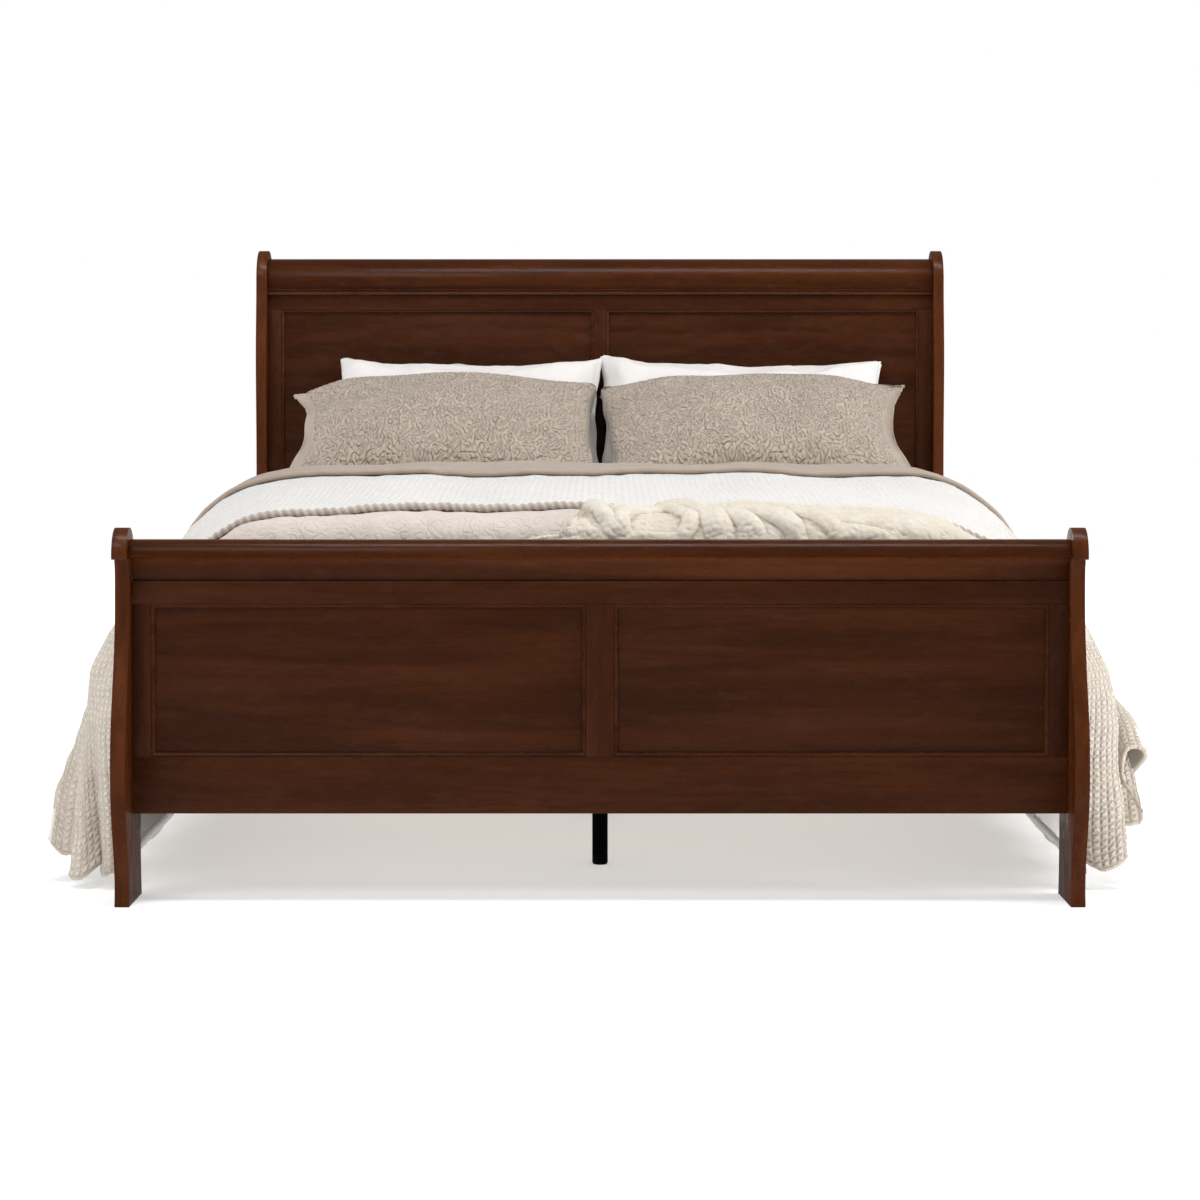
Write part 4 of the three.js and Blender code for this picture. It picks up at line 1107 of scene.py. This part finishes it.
def make_throw(m):
    """A fleece throw, pushed together over the end of the bed, whose folds fan out and flatten towards the right."""
    rows, columns = 560, 150
    u, w = np.meshgrid(np.linspace(0, 1, rows), np.linspace(-1, 1, columns), indexing="ij")
    x = -0.185 + 0.865 * u + random_field(105, 0.25)(u, w) * 0.004
    behind = np.interp(x, *np.transpose(THROW_BACK) / 1000) + random_field(103, 0.10)(x, 0 * x) * 0.003
    q = behind + (0.088 - behind) * (1 + w) / 2
    wander = random_field(106, 0.12)(x, q) * 0.003
    height = np.zeros_like(x)
    for fold in THROW_FOLDS:
        height = np.maximum(height, fold_height(x + wander, q - wander, fold))
    for _ in range(3):  # soften the creases between folds
        height[1:-1, 1:-1] = (height[1:-1, 1:-1] * 4 + height[:-2, 1:-1] + height[2:, 1:-1] + height[1:-1, :-2]
                              + height[1:-1, 2:]) / 8
    fade = smooth((1 - np.abs(w)) / 0.08) * smooth(u / 0.03) * smooth((1 - u) / 0.04)
    soft = random_field(107, 0.040, count=40)(x, q) * 0.0009
    fluff = random_field(104, 0.011, count=60)(x, q) * 0.00035
    height *= 1 - 0.62 * smooth((q - 0.040) / 0.040)  # flatter in the gap behind the footboard
    points = bed_end(x, q, 0.0036 + (height + soft + fluff) * fade)
    width, length = 0.92, 0.165
    uv = np.stack([u * width, w * length / 2], -1)
    obj = closed_sheet("throw_cloth", points, 0.0075, m["cream_fleece"], uv)
    # how far each point lies below its surroundings: the 'crease' value that the fleece reads for its painted shade
    around = height.copy()
    for _ in range(60):
        around[1:-1, 1:-1] = (around[:-2, 1:-1] + around[2:, 1:-1] + around[1:-1, :-2] + around[1:-1, 2:]) / 4
    crease = np.clip((around - height) / 0.0026, 0, 1)
    rim = rim_of(rows, columns)
    crease = np.concatenate([crease.ravel(), crease.ravel(), crease[rim[:, 0], rim[:, 1]]])
    point_value(obj, "crease", crease)
    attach(obj, "root")
    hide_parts("throw_blanket")


# ---- the scene

make_camera()
make_stage()
make_lights()
MATERIALS = make_materials()
dress_frame(MATERIALS)
make_panel_beads(MATERIALS)
make_mattress_set(MATERIALS)
make_comforter(MATERIALS)
make_quilt(MATERIALS)
make_pillows(MATERIALS)
make_shams(MATERIALS)
make_throw(MATERIALS)
